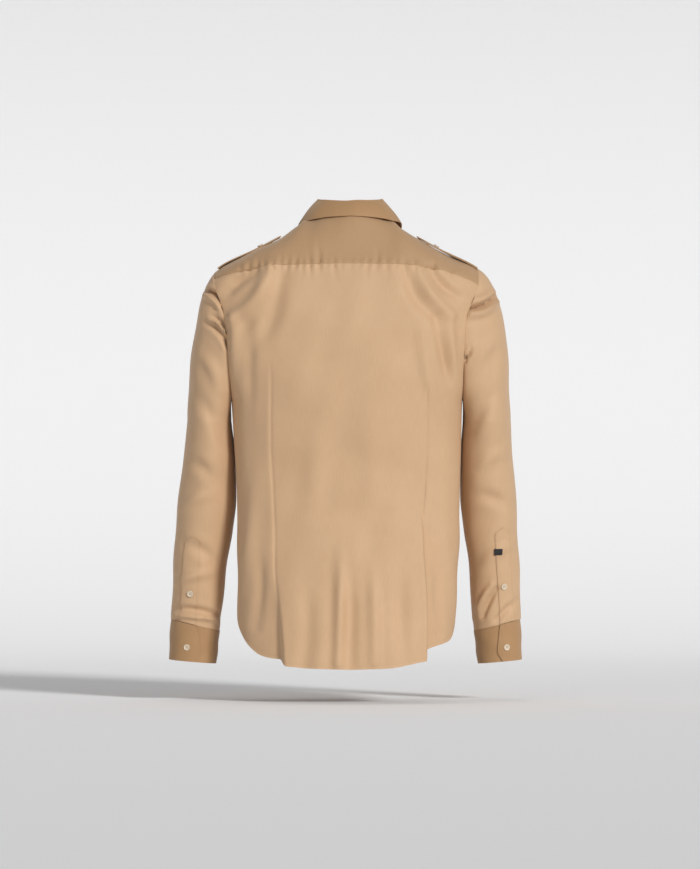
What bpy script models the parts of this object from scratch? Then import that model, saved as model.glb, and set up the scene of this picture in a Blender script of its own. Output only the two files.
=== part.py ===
"""Long-sleeved shirt with shoulder straps, filled out as worn, with its neck, cuffs and hem open.

Metres, +Z up, +Y to the wearer's front, +X to the wearer's right. The origin is the middle of
the neck opening, at the height of the neck seam's back.
"""
from collections import namedtuple

import bpy
import numpy as np

LEFT, RIGHT = -1, 1
SIDE_NAMES = {LEFT: "left", RIGHT: "right"}

# Cloth
CLOTH_WALL = 0.0012
CUFF_WALL = 0.0018
COLLAR_WALL = 0.0015
TAB_WALL = 0.0010
SEAM_GAP = 0.0003

# Body: half widths at the side seams, and the middle of the back and of the front
BodyRow = namedtuple("BodyRow", "z left right back front")
BODY = [
    BodyRow(-0.078, 0.2250, 0.2200, -0.108, 0.0680),
    BodyRow(-0.085, 0.2250, 0.2200, -0.110, 0.0740),
    BodyRow(-0.140, 0.2150, 0.2100, -0.127, 0.1030),
    BodyRow(-0.200, 0.2080, 0.1960, -0.135, 0.1210),
    BodyRow(-0.260, 0.2040, 0.1930, -0.135, 0.1270),
    BodyRow(-0.316, 0.2020, 0.1915, -0.132, 0.1250),
    BodyRow(-0.380, 0.1985, 0.1900, -0.123, 0.1210),
    BodyRow(-0.450, 0.1940, 0.1880, -0.114, 0.1160),
    BodyRow(-0.520, 0.1920, 0.1865, -0.113, 0.1140),
    BodyRow(-0.600, 0.1920, 0.1830, -0.119, 0.1170),
    BodyRow(-0.690, 0.1920, 0.1805, -0.125, 0.1210),
    BodyRow(-0.780, 0.1920, 0.1800, -0.127, 0.1230),
]
SIDE_Y = -0.018
ROUNDNESS = 0.85
HEM_SIDE = {LEFT: -0.682, RIGHT: -0.686}
HEM_BACK_MIDDLE = -0.772
HEM_FRONT_MIDDLE = -0.748
UNDERARM_T = 0.38
TOP_Z = {"back": -0.085, "front": -0.078}

# Armhole: half an ellipse to the front and half to the back, with the seam's place across
ARMHOLE_MIDDLE_Z = -0.2045
ARMHOLE_HALF_HEIGHT = 0.1115
ARMHOLE_BACK = 0.062
ARMHOLE_FRONT = 0.052
UNDERARM_Z = ARMHOLE_MIDDLE_Z - ARMHOLE_HALF_HEIGHT
ArmholeRow = namedtuple("ArmholeRow", "z left right inset")
ARMHOLE = [
    ArmholeRow(-0.093, 0.2265, 0.2190, 0.000),
    ArmholeRow(-0.114, 0.2300, 0.2185, 0.002),
    ArmholeRow(-0.131, 0.2270, 0.2150, 0.006),
    ArmholeRow(-0.150, 0.2200, 0.2070, 0.010),
    ArmholeRow(-0.175, 0.2140, 0.1985, 0.014),
    ArmholeRow(-0.205, 0.2100, 0.1955, 0.016),
    ArmholeRow(-0.250, 0.2060, 0.1940, 0.014),
    ArmholeRow(-0.300, 0.2025, 0.1920, 0.004),
    ArmholeRow(-0.316, 0.2020, 0.1915, 0.000),
]
SHOULDER_TURN = 60.0

# Hem of the back: height by the share of the way round from the middle to the side seam
HemRow = namedtuple("HemRow", "share left right front")
HEM = [
    HemRow(0.00, -0.762, -0.754, -0.748),
    HemRow(0.20, -0.760, -0.752, -0.747),
    HemRow(0.34, -0.756, -0.746, -0.744),
    HemRow(0.46, -0.7535, -0.740, -0.739),
    HemRow(0.55, -0.749, -0.7345, -0.733),
    HemRow(0.65, -0.738, -0.730, -0.726),
    HemRow(0.75, -0.7235, -0.7255, -0.7175),
    HemRow(0.82, -0.7120, -0.7190, -0.709),
    HemRow(0.90, -0.699, -0.706, -0.698),
    HemRow(1.00, -0.682, -0.686, -0.686),
]

# Back darts, which end above the hem and let their fold out below
DartRow = namedtuple("DartRow", "z left right left_fold right_fold")
DARTS = [
    DartRow(-0.085, 0.134, 0.1306, 0.000, 0.000),
    DartRow(-0.380, 0.134, 0.1306, 0.000, 0.000),
    DartRow(-0.500, 0.129, 0.1245, 0.000, 0.000),
    DartRow(-0.540, 0.1275, 0.1220, 0.000, 0.007),
    DartRow(-0.600, 0.1270, 0.1235, 0.001, 0.013),
    DartRow(-0.650, 0.1230, 0.1250, 0.005, 0.017),
    DartRow(-0.700, 0.1160, 0.1265, 0.013, 0.020),
    DartRow(-0.780, 0.1095, 0.1275, 0.020, 0.022),
]
FLANK_WIDTH = {LEFT: 0.011, RIGHT: 0.005}
HEM_STEP = {LEFT: 0.010, RIGHT: 0.018}

# Neck: an oval that drops towards the front, by the angle from the middle of the back
NECK_HALF_WIDTH = 0.064
NECK_HALF_DEPTH = 0.065
NECK_MIDDLE_Y = 0.003
NECK_CORNER = 110.0
NeckRow = namedtuple("NeckRow", "angle z")
NECK = [
    NeckRow(0.0, 0.000),
    NeckRow(45.0, -0.001),
    NeckRow(90.0, -0.008),
    NeckRow(112.0, -0.020),
    NeckRow(135.0, -0.042),
    NeckRow(160.0, -0.069),
    NeckRow(180.0, -0.078),
]

# Yoke: its back seam's ends on the armhole, its front seam's end, and how it bends over the shoulder
YOKE_BACK_ANGLE = {LEFT: 122.0, RIGHT: 131.0}
YOKE_FRONT_ANGLE = 55.0
YOKE_DROP_POWER = 3.6
YOKE_NECK_SHARE = 0.42
YokeRow = namedtuple("YokeRow", "share lift across forward fall")
YOKE = [
    YokeRow(0.00, 0.090, 0.000, 0.060, -0.070),
    YokeRow(0.20, 0.105, -0.015, 0.080, -0.050),
    YokeRow(0.34, 0.145, -0.025, 0.115, 0.020),
    YokeRow(0.42, 0.148, -0.015, 0.115, 0.065),
    YokeRow(0.55, 0.112, -0.010, 0.105, 0.055),
    YokeRow(0.70, 0.085, 0.000, 0.090, 0.058),
    YokeRow(1.00, 0.140, 0.000, 0.080, 0.100),
]

# Sleeves: the sides of each ring nearest to and furthest from the body, and its depth
SleeveRow = namedtuple("SleeveRow", "z left_in left_out right_in right_out middle_y depth tilt")
SLEEVE = [
    SleeveRow(-0.352, 0.2025, 0.2787, 0.1925, 0.2745, 0.008, 0.070, 0.0000),
    SleeveRow(-0.420, 0.1956, 0.2870, 0.1888, 0.2795, 0.022, 0.066, 0.0000),
    SleeveRow(-0.482, 0.1945, 0.2942, 0.1885, 0.2850, 0.031, 0.060, 0.0000),
    SleeveRow(-0.540, 0.2025, 0.2990, 0.1950, 0.2877, 0.036, 0.053, 0.0000),
    SleeveRow(-0.600, 0.2117, 0.3021, 0.2031, 0.2896, 0.040, 0.048, 0.0020),
    SleeveRow(-0.660, 0.2186, 0.3052, 0.2087, 0.2913, 0.046, 0.044, 0.0065),
    SleeveRow(-0.700, 0.2236, 0.3072, 0.2125, 0.2923, 0.051, 0.041, 0.0100),
    SleeveRow(-0.730, 0.2266, 0.3088, 0.2160, 0.2934, 0.055, 0.040, 0.0065),
    SleeveRow(-0.770, 0.2298, 0.3106, 0.2196, 0.2950, 0.058, 0.040, 0.0030),
]
SLEEVE_TOP_Z = -0.352
CUFF_TOP_Z = -0.7010
CUFF_BOTTOM_Z = -0.7640
CapRow = namedtuple("CapRow", "share left right down")
CAP_PULL = [
    CapRow(-1.0, 0.10, 0.10, 0.90),
    CapRow(-0.5, 0.20, 0.22, 0.80),
    CapRow(0.0, 0.25, 0.34, 0.62),
    CapRow(0.6, 0.29, 0.46, 0.40),
    CapRow(1.0, 0.36, 0.58, 0.24),
]

# Cuff overlap, sleeve placket and its tab, by their places on the back of the sleeve
CuffRow = namedtuple("CuffRow", "edge_top edge_bottom under chamfer button_x button_z")
CUFF = {
    LEFT: CuffRow(0.2629, 0.2568, 0.2822, 0.009, 0.2784, -0.7400),
    RIGHT: CuffRow(0.2563, 0.2528, 0.2744, 0.009, 0.2671, -0.7403),
}
PlacketRow = namedtuple("PlacketRow", "inner outer top shoulder button_z")
PLACKET = {
    LEFT: PlacketRow(0.2558, 0.2824, -0.5491, -0.5574, -0.6480),
    RIGHT: PlacketRow(0.2476, 0.2722, -0.5333, -0.5440, -0.6360),
}
TAB_SIZE = (0.0128, 0.0108)
TAB_MIDDLE = (0.2520, -0.5750)

# Collar: stand height and lean, then how far the turned-down leaf goes out, down and to its points
CollarRow = namedtuple("CollarRow", "angle rise lean out down sweep")
COLLAR = [
    CollarRow(0.0, 0.0195, 0.0170, 0.0200, 0.0262, 0.000),
    CollarRow(25.0, 0.0202, 0.0160, 0.0210, 0.0283, 0.000),
    CollarRow(60.0, 0.0232, 0.0125, 0.0292, 0.0350, 0.000),
    CollarRow(90.0, 0.0295, 0.0110, 0.0325, 0.0422, 0.000),
    CollarRow(130.0, 0.0275, 0.0090, 0.0330, 0.0560, 0.008),
    CollarRow(160.0, 0.0260, 0.0090, 0.0350, 0.0690, 0.028),
    CollarRow(190.0, 0.0250, 0.0100, 0.0390, 0.0740, 0.052),
]
LEAF_END_ANGLE = 176.0
STAND_END_ANGLE = 190.0
NECK_STEP = 10.0
STAND_OVERLAP = 0.0013
ROLL_RISE = 0.0042
ROLL_REACH = 0.0030

# Front closing
PLACKET_HALF_WIDTH = 0.0175
PLACKET_COLUMNS = tuple(PLACKET_HALF_WIDTH * part for part in (-1.0, -0.5, 0.0, 0.5, 1.0))
UNDERLAP_DROP = 0.0026
FRONT_BUTTONS = (-0.150, -0.235, -0.320, -0.405, -0.490, -0.575, -0.660)

# Shoulder straps, along the shoulder from the armhole towards the collar
STRAP_OUTER = 0.985
STRAP_INNER = {LEFT: 0.128, RIGHT: 0.123}
STRAP_HALF_WIDTH = 0.020
STRAP_LENGTH = 0.11
STRAP_POINT = 0.012
STRAP_TAPER = 0.12
STRAP_WALL = CLOTH_WALL + 0.0004
STRAP_LIFT = {LEFT: 0.0018, RIGHT: 0.0028}
STRAP_MIDDLE = 0.60

# Buttons
BUTTON_RADIUS = 0.0055
BUTTON_HEIGHT = 0.0022
BUTTON_SIDES = 10

# Grid sizes
BODY_ROWS = 20
YOKE_ROWS = 8
ARMHOLE_ROWS = 8

FABRIC_COLOUR = (0.545, 0.352, 0.205, 1.0)
BUTTON_COLOUR = (0.70, 0.60, 0.46, 1.0)
TAB_COLOUR = (0.012, 0.012, 0.013, 1.0)


def curve(table, key, column, at):
    """Smooth value of a table's column at places of its key column, with no overshoot."""
    knots = np.array([getattr(row, key) for row in table], float)
    values = np.array([getattr(row, column) for row in table], float)
    if knots[0] > knots[-1]:
        knots, values = knots[::-1], values[::-1]
    steps = np.diff(knots)
    slopes = np.diff(values) / steps
    tangents = np.zeros_like(values)
    tangents[0], tangents[-1] = slopes[0], slopes[-1]
    product = slopes[:-1] * slopes[1:]
    total = np.where(product > 0, slopes[:-1] + slopes[1:], 1.0)
    tangents[1:-1] = np.where(product > 0, 2 * product / total, 0.0)
    at = np.clip(np.asarray(at, float), knots[0], knots[-1])
    index = np.clip(np.searchsorted(knots, at, side="right") - 1, 0, len(steps) - 1)
    step = steps[index]
    part = (at - knots[index]) / step
    return (values[index] * (1 + 2 * part) * (1 - part) ** 2
            + tangents[index] * step * part * (1 - part) ** 2
            + values[index + 1] * part ** 2 * (3 - 2 * part)
            + tangents[index + 1] * step * part ** 2 * (part - 1))


def smooth_step(low, high, value):
    part = np.clip((np.asarray(value, float) - low) / (high - low), 0.0, 1.0)
    return part * part * (3 - 2 * part)


def stack(x, y, z):
    return np.stack(np.broadcast_arrays(x, y, z), axis=-1).astype(float)


def unit(vectors):
    return vectors / np.maximum(np.linalg.norm(vectors, axis=-1, keepdims=True), 1e-12)


def armhole(side, angle):
    """Point on the armhole seam; 0 degrees is the front, 90 the shoulder point, 180 the back."""
    turn = np.radians(angle)
    z = ARMHOLE_MIDDLE_Z + ARMHOLE_HALF_HEIGHT * np.sin(turn)
    reach = np.where(np.cos(turn) > 0, ARMHOLE_FRONT, ARMHOLE_BACK)
    y = SIDE_Y + reach * np.cos(turn)
    x = curve(ARMHOLE, "z", SIDE_NAMES[side], z)
    x = x - curve(ARMHOLE, "z", "inset", z) * np.maximum(np.cos(turn), 0.0)
    return stack(side * x, y, z)


def armhole_normal(side, angle, own):
    """Outward direction at the armhole seam: shared above, and each piece's own at the underarm."""
    turn = np.radians(angle)
    low = smooth_step(-0.2, -0.9, np.sin(turn))[..., None]
    shared = unit(stack(side * 0.55, np.cos(turn), np.sin(turn)))
    return unit(shared * (1 - low) + own * low)


def body_edge(side, t, face):
    """Outer edge of a body panel: the armhole down to the underarm, then the side seam."""
    start = YOKE_BACK_ANGLE[side] if face == "back" else YOKE_FRONT_ANGLE
    end = 270.0 if face == "back" else -90.0
    seam = armhole(side, start + (end - start) * np.clip(t / UNDERARM_T, 0.0, 1.0))
    low = np.clip((t - UNDERARM_T) / (1 - UNDERARM_T), 0.0, 1.0)
    z = UNDERARM_Z + (HEM_SIDE[side] - UNDERARM_Z) * low
    sides = stack(side * curve(BODY, "z", SIDE_NAMES[side], z), SIDE_Y, z)
    return np.where((t < UNDERARM_T)[..., None], seam, sides)


def body_turn(t):
    """How far a row has turned towards the side where it ends, in radians."""
    return np.radians(SHOULDER_TURN + (90.0 - SHOULDER_TURN) * smooth_step(0.0, UNDERARM_T, t))


def share_to_fraction(share, turn):
    return np.sign(share) * (np.sin(turn * np.abs(share)) / np.sin(turn)) ** ROUNDNESS


def fraction_to_share(fraction, turn):
    inner = np.clip(np.abs(fraction), 0.0, 1.0) ** (1 / ROUNDNESS) * np.sin(turn)
    return np.sign(fraction) * np.arcsin(np.clip(inner, 0.0, 1.0)) / turn


def neck_point(angle):
    turn = np.radians(angle)
    z = curve(NECK, "angle", "z", 180.0 - np.abs(180.0 - np.abs(angle)))
    y = NECK_MIDDLE_Y - NECK_HALF_DEPTH * np.cos(turn)
    return stack(NECK_HALF_WIDTH * np.sin(turn), y, z)


def panel_row(side, share, t, face):
    """Point of a body panel before its top edge is shaped."""
    turn = body_turn(t)
    bend = np.cos(turn * np.abs(share)) ** ROUNDNESS
    full_bend = np.maximum(np.cos(turn), 0.0) ** ROUNDNESS
    edge = body_edge(side, t, face)
    top = TOP_Z[face]
    middle_z = np.where(t < UNDERARM_T, top + (UNDERARM_Z - top) * t / UNDERARM_T, UNDERARM_Z)
    fraction = share_to_fraction(share, turn)
    drop = np.abs(fraction) ** (YOKE_DROP_POWER if face == "back" else 2.0)
    upper_z = middle_z + (edge[..., 2] - middle_z) * drop
    hem = hem_height(side, share, face)
    low = np.clip((t - UNDERARM_T) / (1 - UNDERARM_T), 0.0, 1.0)
    z = np.where(t < UNDERARM_T, upper_z, UNDERARM_Z + (hem - UNDERARM_Z) * low)
    middle_low = HEM_BACK_MIDDLE if face == "back" else HEM_FRONT_MIDDLE
    centre_z = np.where(t < UNDERARM_T, middle_z, UNDERARM_Z + (middle_low - UNDERARM_Z) * low)
    centre_y = curve(BODY, "z", face, centre_z)
    y = centre_y + (edge[..., 1] - centre_y) * (1 - bend) / (1 - full_bend)
    x = edge[..., 0] * np.abs(fraction) * np.where(share < 0, -1.0, 1.0)
    return stack(x, y, z)


def hem_height(side, share, face):
    column = SIDE_NAMES[side] if face == "back" else "front"
    return curve(HEM, "share", column, np.abs(share))


def dart_share(side, t):
    """Where the dart's line lies, as a share of the way round, at each row."""
    z = row_height(t)
    edge = body_edge(side, t, "back")
    x = curve(DARTS, "z", SIDE_NAMES[side], z)
    return fraction_to_share(x / np.abs(edge[..., 0]), body_turn(t))


def row_height(t):
    low = np.clip((t - UNDERARM_T) / (1 - UNDERARM_T), 0.0, 1.0)
    upper = TOP_Z["back"] + (UNDERARM_Z - TOP_Z["back"]) * np.clip(t / UNDERARM_T, 0.0, 1.0)
    return np.where(t < UNDERARM_T, upper, UNDERARM_Z + (HEM_BACK_MIDDLE - UNDERARM_Z) * low)


def back_point(side, share, t, raised):
    """Point of the back; raised is 1 on the centre panel between the folds and 0 beside them."""
    points = panel_row(side, share, t, "back")
    z = points[..., 2]
    fold = raised * curve(DARTS, "z", SIDE_NAMES[side] + "_fold", z)
    other = raised * curve(DARTS, "z", SIDE_NAMES[-side] + "_fold", z)
    dart = np.maximum(dart_share(side, t), 1e-6)
    near = np.clip(0.5 + 0.5 * np.abs(share) / dart, 0.0, 1.0)
    points[..., 1] -= fold * near + other * (1 - near)
    points[..., 2] -= HEM_STEP[side] * raised * smooth_step(-0.55, -0.75, z)
    return points


def top_edge(side, fraction):
    """Top edge of a front: round the neck, then along the yoke's front seam to the armhole."""
    end = armhole(side, np.array(YOKE_FRONT_ANGLE))
    x = fraction * abs(end[0])
    corner = neck_point(np.array(NECK_CORNER))
    inside = np.clip(np.abs(x) / NECK_HALF_WIDTH, 0.0, np.sin(np.radians(NECK_CORNER)))
    around = neck_point(180.0 - np.degrees(np.arcsin(inside)))
    along = np.clip((np.abs(x) - corner[0]) / (abs(end[0]) - corner[0]), 0.0, 1.0)
    seam_y = corner[1] + (end[1] - corner[1]) * along
    seam_z = corner[2] + (end[2] - corner[2]) * along
    on_neck = np.abs(x) < corner[0]
    y = np.where(on_neck, around[..., 1], seam_y)
    z = np.where(on_neck, around[..., 2], seam_z)
    return stack(side * x, y, z)


def front_point(side, share, t):
    """Point of a front; share is 0 at the middle, 1 at the side, and below 0 past the middle."""
    points = panel_row(side, share, t, "front")
    first = panel_row(side, share, np.zeros_like(t), "front")
    fraction = share_to_fraction(share, body_turn(np.zeros_like(t)))
    change = top_edge(side, fraction) - first
    change[..., 0] = 0.0
    fade = np.clip(1 - t / (1.15 * UNDERARM_T), 0.0, 1.0) ** 1.6
    return points + change * fade[..., None]


def yoke_point(share, v):
    """Point of the yoke; share runs from the left armhole to the right one, v from back to front."""
    points = np.zeros(np.broadcast_shapes(np.shape(share), np.shape(v)) + (3,))
    share, v = np.broadcast_arrays(np.asarray(share, float), np.asarray(v, float))
    for side in (LEFT, RIGHT):
        chosen = (share < 0) if side == LEFT else (share >= 0)
        points[chosen] = yoke_half(side, np.abs(share[chosen]), v[chosen])
    return points


def yoke_half(side, share, v):
    start = panel_row(side, share, np.zeros_like(share), "back")
    angle = NECK_CORNER * np.clip(share / YOKE_NECK_SHARE, 0.0, 1.0)
    on_neck = neck_point(angle)
    on_neck[..., 0] *= side
    along = np.clip((share - YOKE_NECK_SHARE) / (1 - YOKE_NECK_SHARE), 0.0, 1.0)
    corner = neck_point(np.array(NECK_CORNER))
    edge_x = abs(armhole(side, np.array(YOKE_FRONT_ANGLE))[0])
    seam = top_edge(side, (corner[0] + (edge_x - corner[0]) * along) / edge_x)
    end = np.where((share < YOKE_NECK_SHARE)[..., None], on_neck, seam)
    leave = stack(0.0, 0.05, curve(YOKE, "share", "lift", share))
    arrive = stack(side * curve(YOKE, "share", "across", share),
                   curve(YOKE, "share", "forward", share), -curve(YOKE, "share", "fall", share))
    part = v[..., None]
    points = (start * (1 + 2 * part) * (1 - part) ** 2 + leave * part * (1 - part) ** 2
              + end * part ** 2 * (3 - 2 * part) + arrive * part ** 2 * (part - 1))
    back, front = YOKE_BACK_ANGLE[side], YOKE_FRONT_ANGLE
    target = armhole(side, back + (front - back) * v)
    if np.any(share < 1.0):
        last = yoke_half(side, np.ones_like(share), v)
    else:
        last = points
    weight = (np.clip((share - 0.6) / 0.4, 0.0, 1.0) ** 2)[..., None]
    return points + weight * (target - last) if np.any(share < 1.0) else points


def sleeve_ring(side, angle, z):
    """Point of a sleeve or cuff ring; 90 degrees faces away from the body, 180 to the back."""
    name = SIDE_NAMES[side]
    turn = np.radians(angle)
    inner = curve(SLEEVE, "z", name + "_in", z)
    outer = curve(SLEEVE, "z", name + "_out", z)
    x = (inner + outer) / 2 + (outer - inner) / 2 * np.sin(turn)
    y = curve(SLEEVE, "z", "middle_y", z) + curve(SLEEVE, "z", "depth", z) * np.cos(turn)
    return stack(side * x, y, z + curve(SLEEVE, "z", "tilt", z) * np.sin(turn))


def sleeve_cap(side, angle, share):
    """Point between the armhole seam, share 0, and the first full ring of the sleeve, share 1."""
    start = armhole(side, angle)
    end = sleeve_ring(side, angle, np.full(np.shape(angle), SLEEVE_TOP_Z))
    length = np.linalg.norm(end - start, axis=-1)
    level = np.sin(np.radians(angle))
    leave = stack(side * length * curve(CAP_PULL, "share", SIDE_NAMES[side], level), 0.0,
                  -length * curve(CAP_PULL, "share", "down", level))
    arrive = stack(0.0, 0.0, -length * 0.9)
    part = share[..., None]
    return (start * (1 + 2 * part) * (1 - part) ** 2 + leave * part * (1 - part) ** 2
            + end * part ** 2 * (3 - 2 * part) + arrive * part ** 2 * (part - 1))


def ring_angle(side, x, z):
    """Angle on the back of a sleeve ring where its distance from the middle of the body is x."""
    name = SIDE_NAMES[side]
    inner = curve(SLEEVE, "z", name + "_in", z)
    outer = curve(SLEEVE, "z", name + "_out", z)
    return 180.0 - np.degrees(np.arcsin(np.clip((x - (inner + outer) / 2) / (outer - inner) * 2, -1, 1)))


def grid_normals(points, centre, ring=False):
    """Outward normals of a grid of points, away from the centre."""
    if ring:
        around = np.roll(points, -1, axis=1) - np.roll(points, 1, axis=1)
    else:
        around = np.gradient(points, axis=1)
    along = np.gradient(points, axis=0)
    normals = unit(np.cross(along, around))
    if np.sum(normals * (points - centre)) < 0:
        normals = -normals
    return normals


def trim(points, ring=False):
    """Draws a grid's edges in by half a seam gap."""
    points = points.copy()
    half = SEAM_GAP / 2
    points[0] += unit(points[1] - points[0]) * half
    points[-1] += unit(points[-2] - points[-1]) * half
    if not ring:
        points[:, 0] += unit(points[:, 1] - points[:, 0]) * half
        points[:, -1] += unit(points[:, -2] - points[:, -1]) * half
    return points


def material(name, colour, roughness):
    made = bpy.data.materials.new(name)
    made.use_nodes = True
    shader = made.node_tree.nodes["Principled BSDF"]
    shader.inputs["Base Color"].default_value = colour
    shader.inputs["Roughness"].default_value = roughness
    shader.inputs["Metallic"].default_value = 0.0
    made.diffuse_color = colour
    return made


def add_object(name, vertices, faces, look):
    mesh = bpy.data.meshes.new(name)
    mesh.from_pydata([tuple(map(float, point)) for point in vertices], [], faces)
    mesh.materials.append(look)
    mesh.shade_smooth()
    mesh.set_sharp_from_angle(angle=np.radians(50.0))
    made = bpy.data.objects.new(name, mesh)
    bpy.context.scene.collection.objects.link(made)
    return made


def cloth(name, points, normals, look, wall=CLOTH_WALL, lift=0.0, ring=False):
    """Closed wall of cloth: its outer side is lift above the points and its inner side a wall below."""
    rows, columns = points.shape[:2]
    outer = points + normals * lift
    inner = points + normals * (lift - wall)
    vertices = np.concatenate([outer.reshape(-1, 3), inner.reshape(-1, 3)])
    half = rows * columns
    faces = []
    spans = columns if ring else columns - 1
    for row in range(rows - 1):
        for column in range(spans):
            a = row * columns + column
            b = row * columns + (column + 1) % columns
            c, d = b + columns, a + columns
            faces += [(a, b, c), (a, c, d)]
            faces += [(half + c, half + b, half + a), (half + d, half + c, half + a)]
    for column in range(spans):
        a, b = column, (column + 1) % columns
        faces.append((b, a, half + a, half + b))
        a, b = a + (rows - 1) * columns, b + (rows - 1) * columns
        faces.append((a, b, half + b, half + a))
    if not ring:
        for row in range(rows - 1):
            a, b = row * columns, (row + 1) * columns
            faces.append((a, b, half + b, half + a))
            a, b = a + columns - 1, b + columns - 1
            faces.append((b, a, half + a, half + b))
    if signed_volume(vertices, faces) < 0:
        faces = [tuple(reversed(face)) for face in faces]
    return add_object(name, vertices, faces, look)


def signed_volume(vertices, faces):
    total = 0.0
    for face in faces:
        for index in range(1, len(face) - 1):
            a, b, c = vertices[face[0]], vertices[face[index]], vertices[face[index + 1]]
            total += np.dot(a, np.cross(b, c))
    return total


def body_rows():
    """Heights of the body grid's rows, closer together round the underarm."""
    upper = UNDERARM_T * (1 - (1 - np.linspace(0, 1, ARMHOLE_ROWS + 1)) ** 1.15)
    lower = UNDERARM_T + (1 - UNDERARM_T) * np.linspace(0, 1, BODY_ROWS - ARMHOLE_ROWS)[1:]
    return np.concatenate([upper, lower])


def back_half(side, rows):
    """Shares, raised values and points of half of the back, from the middle to the edge."""
    dart = dart_share(side, rows)
    edge_x = np.abs(body_edge(side, rows, "back")[..., 0])
    flank = FLANK_WIDTH[side] / edge_x
    centre = np.array([0.0, 0.25, 0.50, 0.75, 0.92])
    beside = np.array([0.08, 0.25, 0.43, 0.62, 0.80, 0.92, 1.0])
    shares, raised = [], []
    for part in centre:
        shares.append(part * (dart - flank / 2))
        raised.append(1.0)
    for part in (0.0, 0.33, 0.67, 1.0):
        shares.append(dart + (part - 0.5) * flank)
        raised.append(1.0 - part)
    for part in beside:
        first = dart + flank / 2
        shares.append(first + part * (1 - first))
        raised.append(0.0)
    share = np.stack(shares, axis=1)
    lifted = np.broadcast_to(np.array(raised), share.shape)
    t = np.broadcast_to(rows[:, None], share.shape)
    return back_point(side, share, t, lifted)


def back_grid():
    rows = body_rows()
    left, right = back_half(LEFT, rows), back_half(RIGHT, rows)
    left[:, 0] = right[:, 0] = (left[:, 0] + right[:, 0]) / 2
    points = np.concatenate([left[:, ::-1], right[:, 1:]], axis=1)
    centre = stack(0.0, SIDE_Y, points[..., 2])
    normals = grid_normals(points, centre)
    set_edge_normals(normals, rows, LEFT, 0, "back")
    set_edge_normals(normals, rows, RIGHT, -1, "back")
    return points, normals


def set_edge_normals(normals, rows, side, column, face):
    """Gives a body panel's armhole edge the directions that the sleeve uses too."""
    start = YOKE_BACK_ANGLE[side] if face == "back" else YOKE_FRONT_ANGLE
    end = 270.0 if face == "back" else -90.0
    for row, t in enumerate(rows):
        if t < UNDERARM_T - 1e-9:
            angle = start + (end - start) * t / UNDERARM_T
            normals[row, column] = armhole_normal(side, np.array(angle), normals[row, column])
        else:
            normals[row, column] = unit(np.array([side * 1.0, 0.0, 0.0]))


def yoke_grid():
    on_neck = YOKE_NECK_SHARE * np.array([0.0, 20.0, 40.0, 60.0, 80.0, 95.0, NECK_CORNER]) / NECK_CORNER
    half = np.concatenate([on_neck, YOKE_NECK_SHARE + (1 - YOKE_NECK_SHARE) * np.linspace(0, 1, 7)[1:]])
    share = np.concatenate([-half[:0:-1], half])
    v = np.linspace(0, 1, YOKE_ROWS)
    points = yoke_point(share[None, :], v[:, None])
    normals = grid_normals(points, stack(0.0, 0.0, -0.15))
    for side, column in ((LEFT, 0), (RIGHT, -1)):
        back, front = YOKE_BACK_ANGLE[side], YOKE_FRONT_ANGLE
        normals[:, column] = armhole_normal(side, back + (front - back) * v, normals[:, column])
    return points, normals


def match_seam(first, first_row, second, second_row, chosen=None):
    """Gives two edges along one seam the same directions, where the chosen test holds."""
    edges = []
    for (points, normals), row in ((first, first_row), (second, second_row)):
        place = points[row]
        picked = np.ones(len(place), bool) if chosen is None else chosen(place)
        index = np.flatnonzero(picked)
        index = index[np.argsort(place[index, 0])]
        edges.append((index, place[index, 0], normals[row, index].copy()))
    for (points, normals), row, own, mate in ((first, first_row, edges[0], edges[1]),
                                              (second, second_row, edges[1], edges[0])):
        other = np.stack([np.interp(own[1], mate[1], mate[2][:, axis]) for axis in range(3)], axis=1)
        normals[row, own[0]] = unit(own[2] + other)


def front_share(side, x, t):
    """Share of the way round at a distance x from the middle line."""
    edge = np.abs(body_edge(side, t, "front")[..., 0])
    return fraction_to_share(x / edge, body_turn(t))


def front_base(side, x, t):
    return front_point(side, front_share(side, x, t), t)


def front_grid(side):
    rows = body_rows()
    strip = [front_share(side, np.full(rows.shape, x), rows) for x in PLACKET_COLUMNS]
    neck_x = NECK_HALF_WIDTH * np.sin(np.radians(np.array([150.0, 140.0, 130.0, 120.0, NECK_CORNER])))
    neck_shares = front_share(side, neck_x, np.zeros(len(neck_x)))
    first = front_share(side, PLACKET_HALF_WIDTH, np.zeros(1))
    neck_parts = (neck_shares - first) / (1 - first)
    parts = np.concatenate([neck_parts, [0.38, 0.48, 0.60, 0.73, 0.87, 1.0]])
    rest = strip[-1][:, None] + (1 - strip[-1][:, None]) * parts[None, :]
    share = np.concatenate([np.stack(strip, axis=1), rest], axis=1)
    t = np.broadcast_to(rows[:, None], share.shape)
    points = front_point(side, share, t)
    centre = stack(0.0, SIDE_Y, points[..., 2])
    normals = grid_normals(points, centre)
    if side == RIGHT:
        under = UNDERLAP_DROP * (1 - smooth_step(0.022, 0.060, points[..., 0]))
        points = points - normals * under[..., None]
    set_edge_normals(normals, rows, side, -1, "front")
    return points, normals


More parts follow.
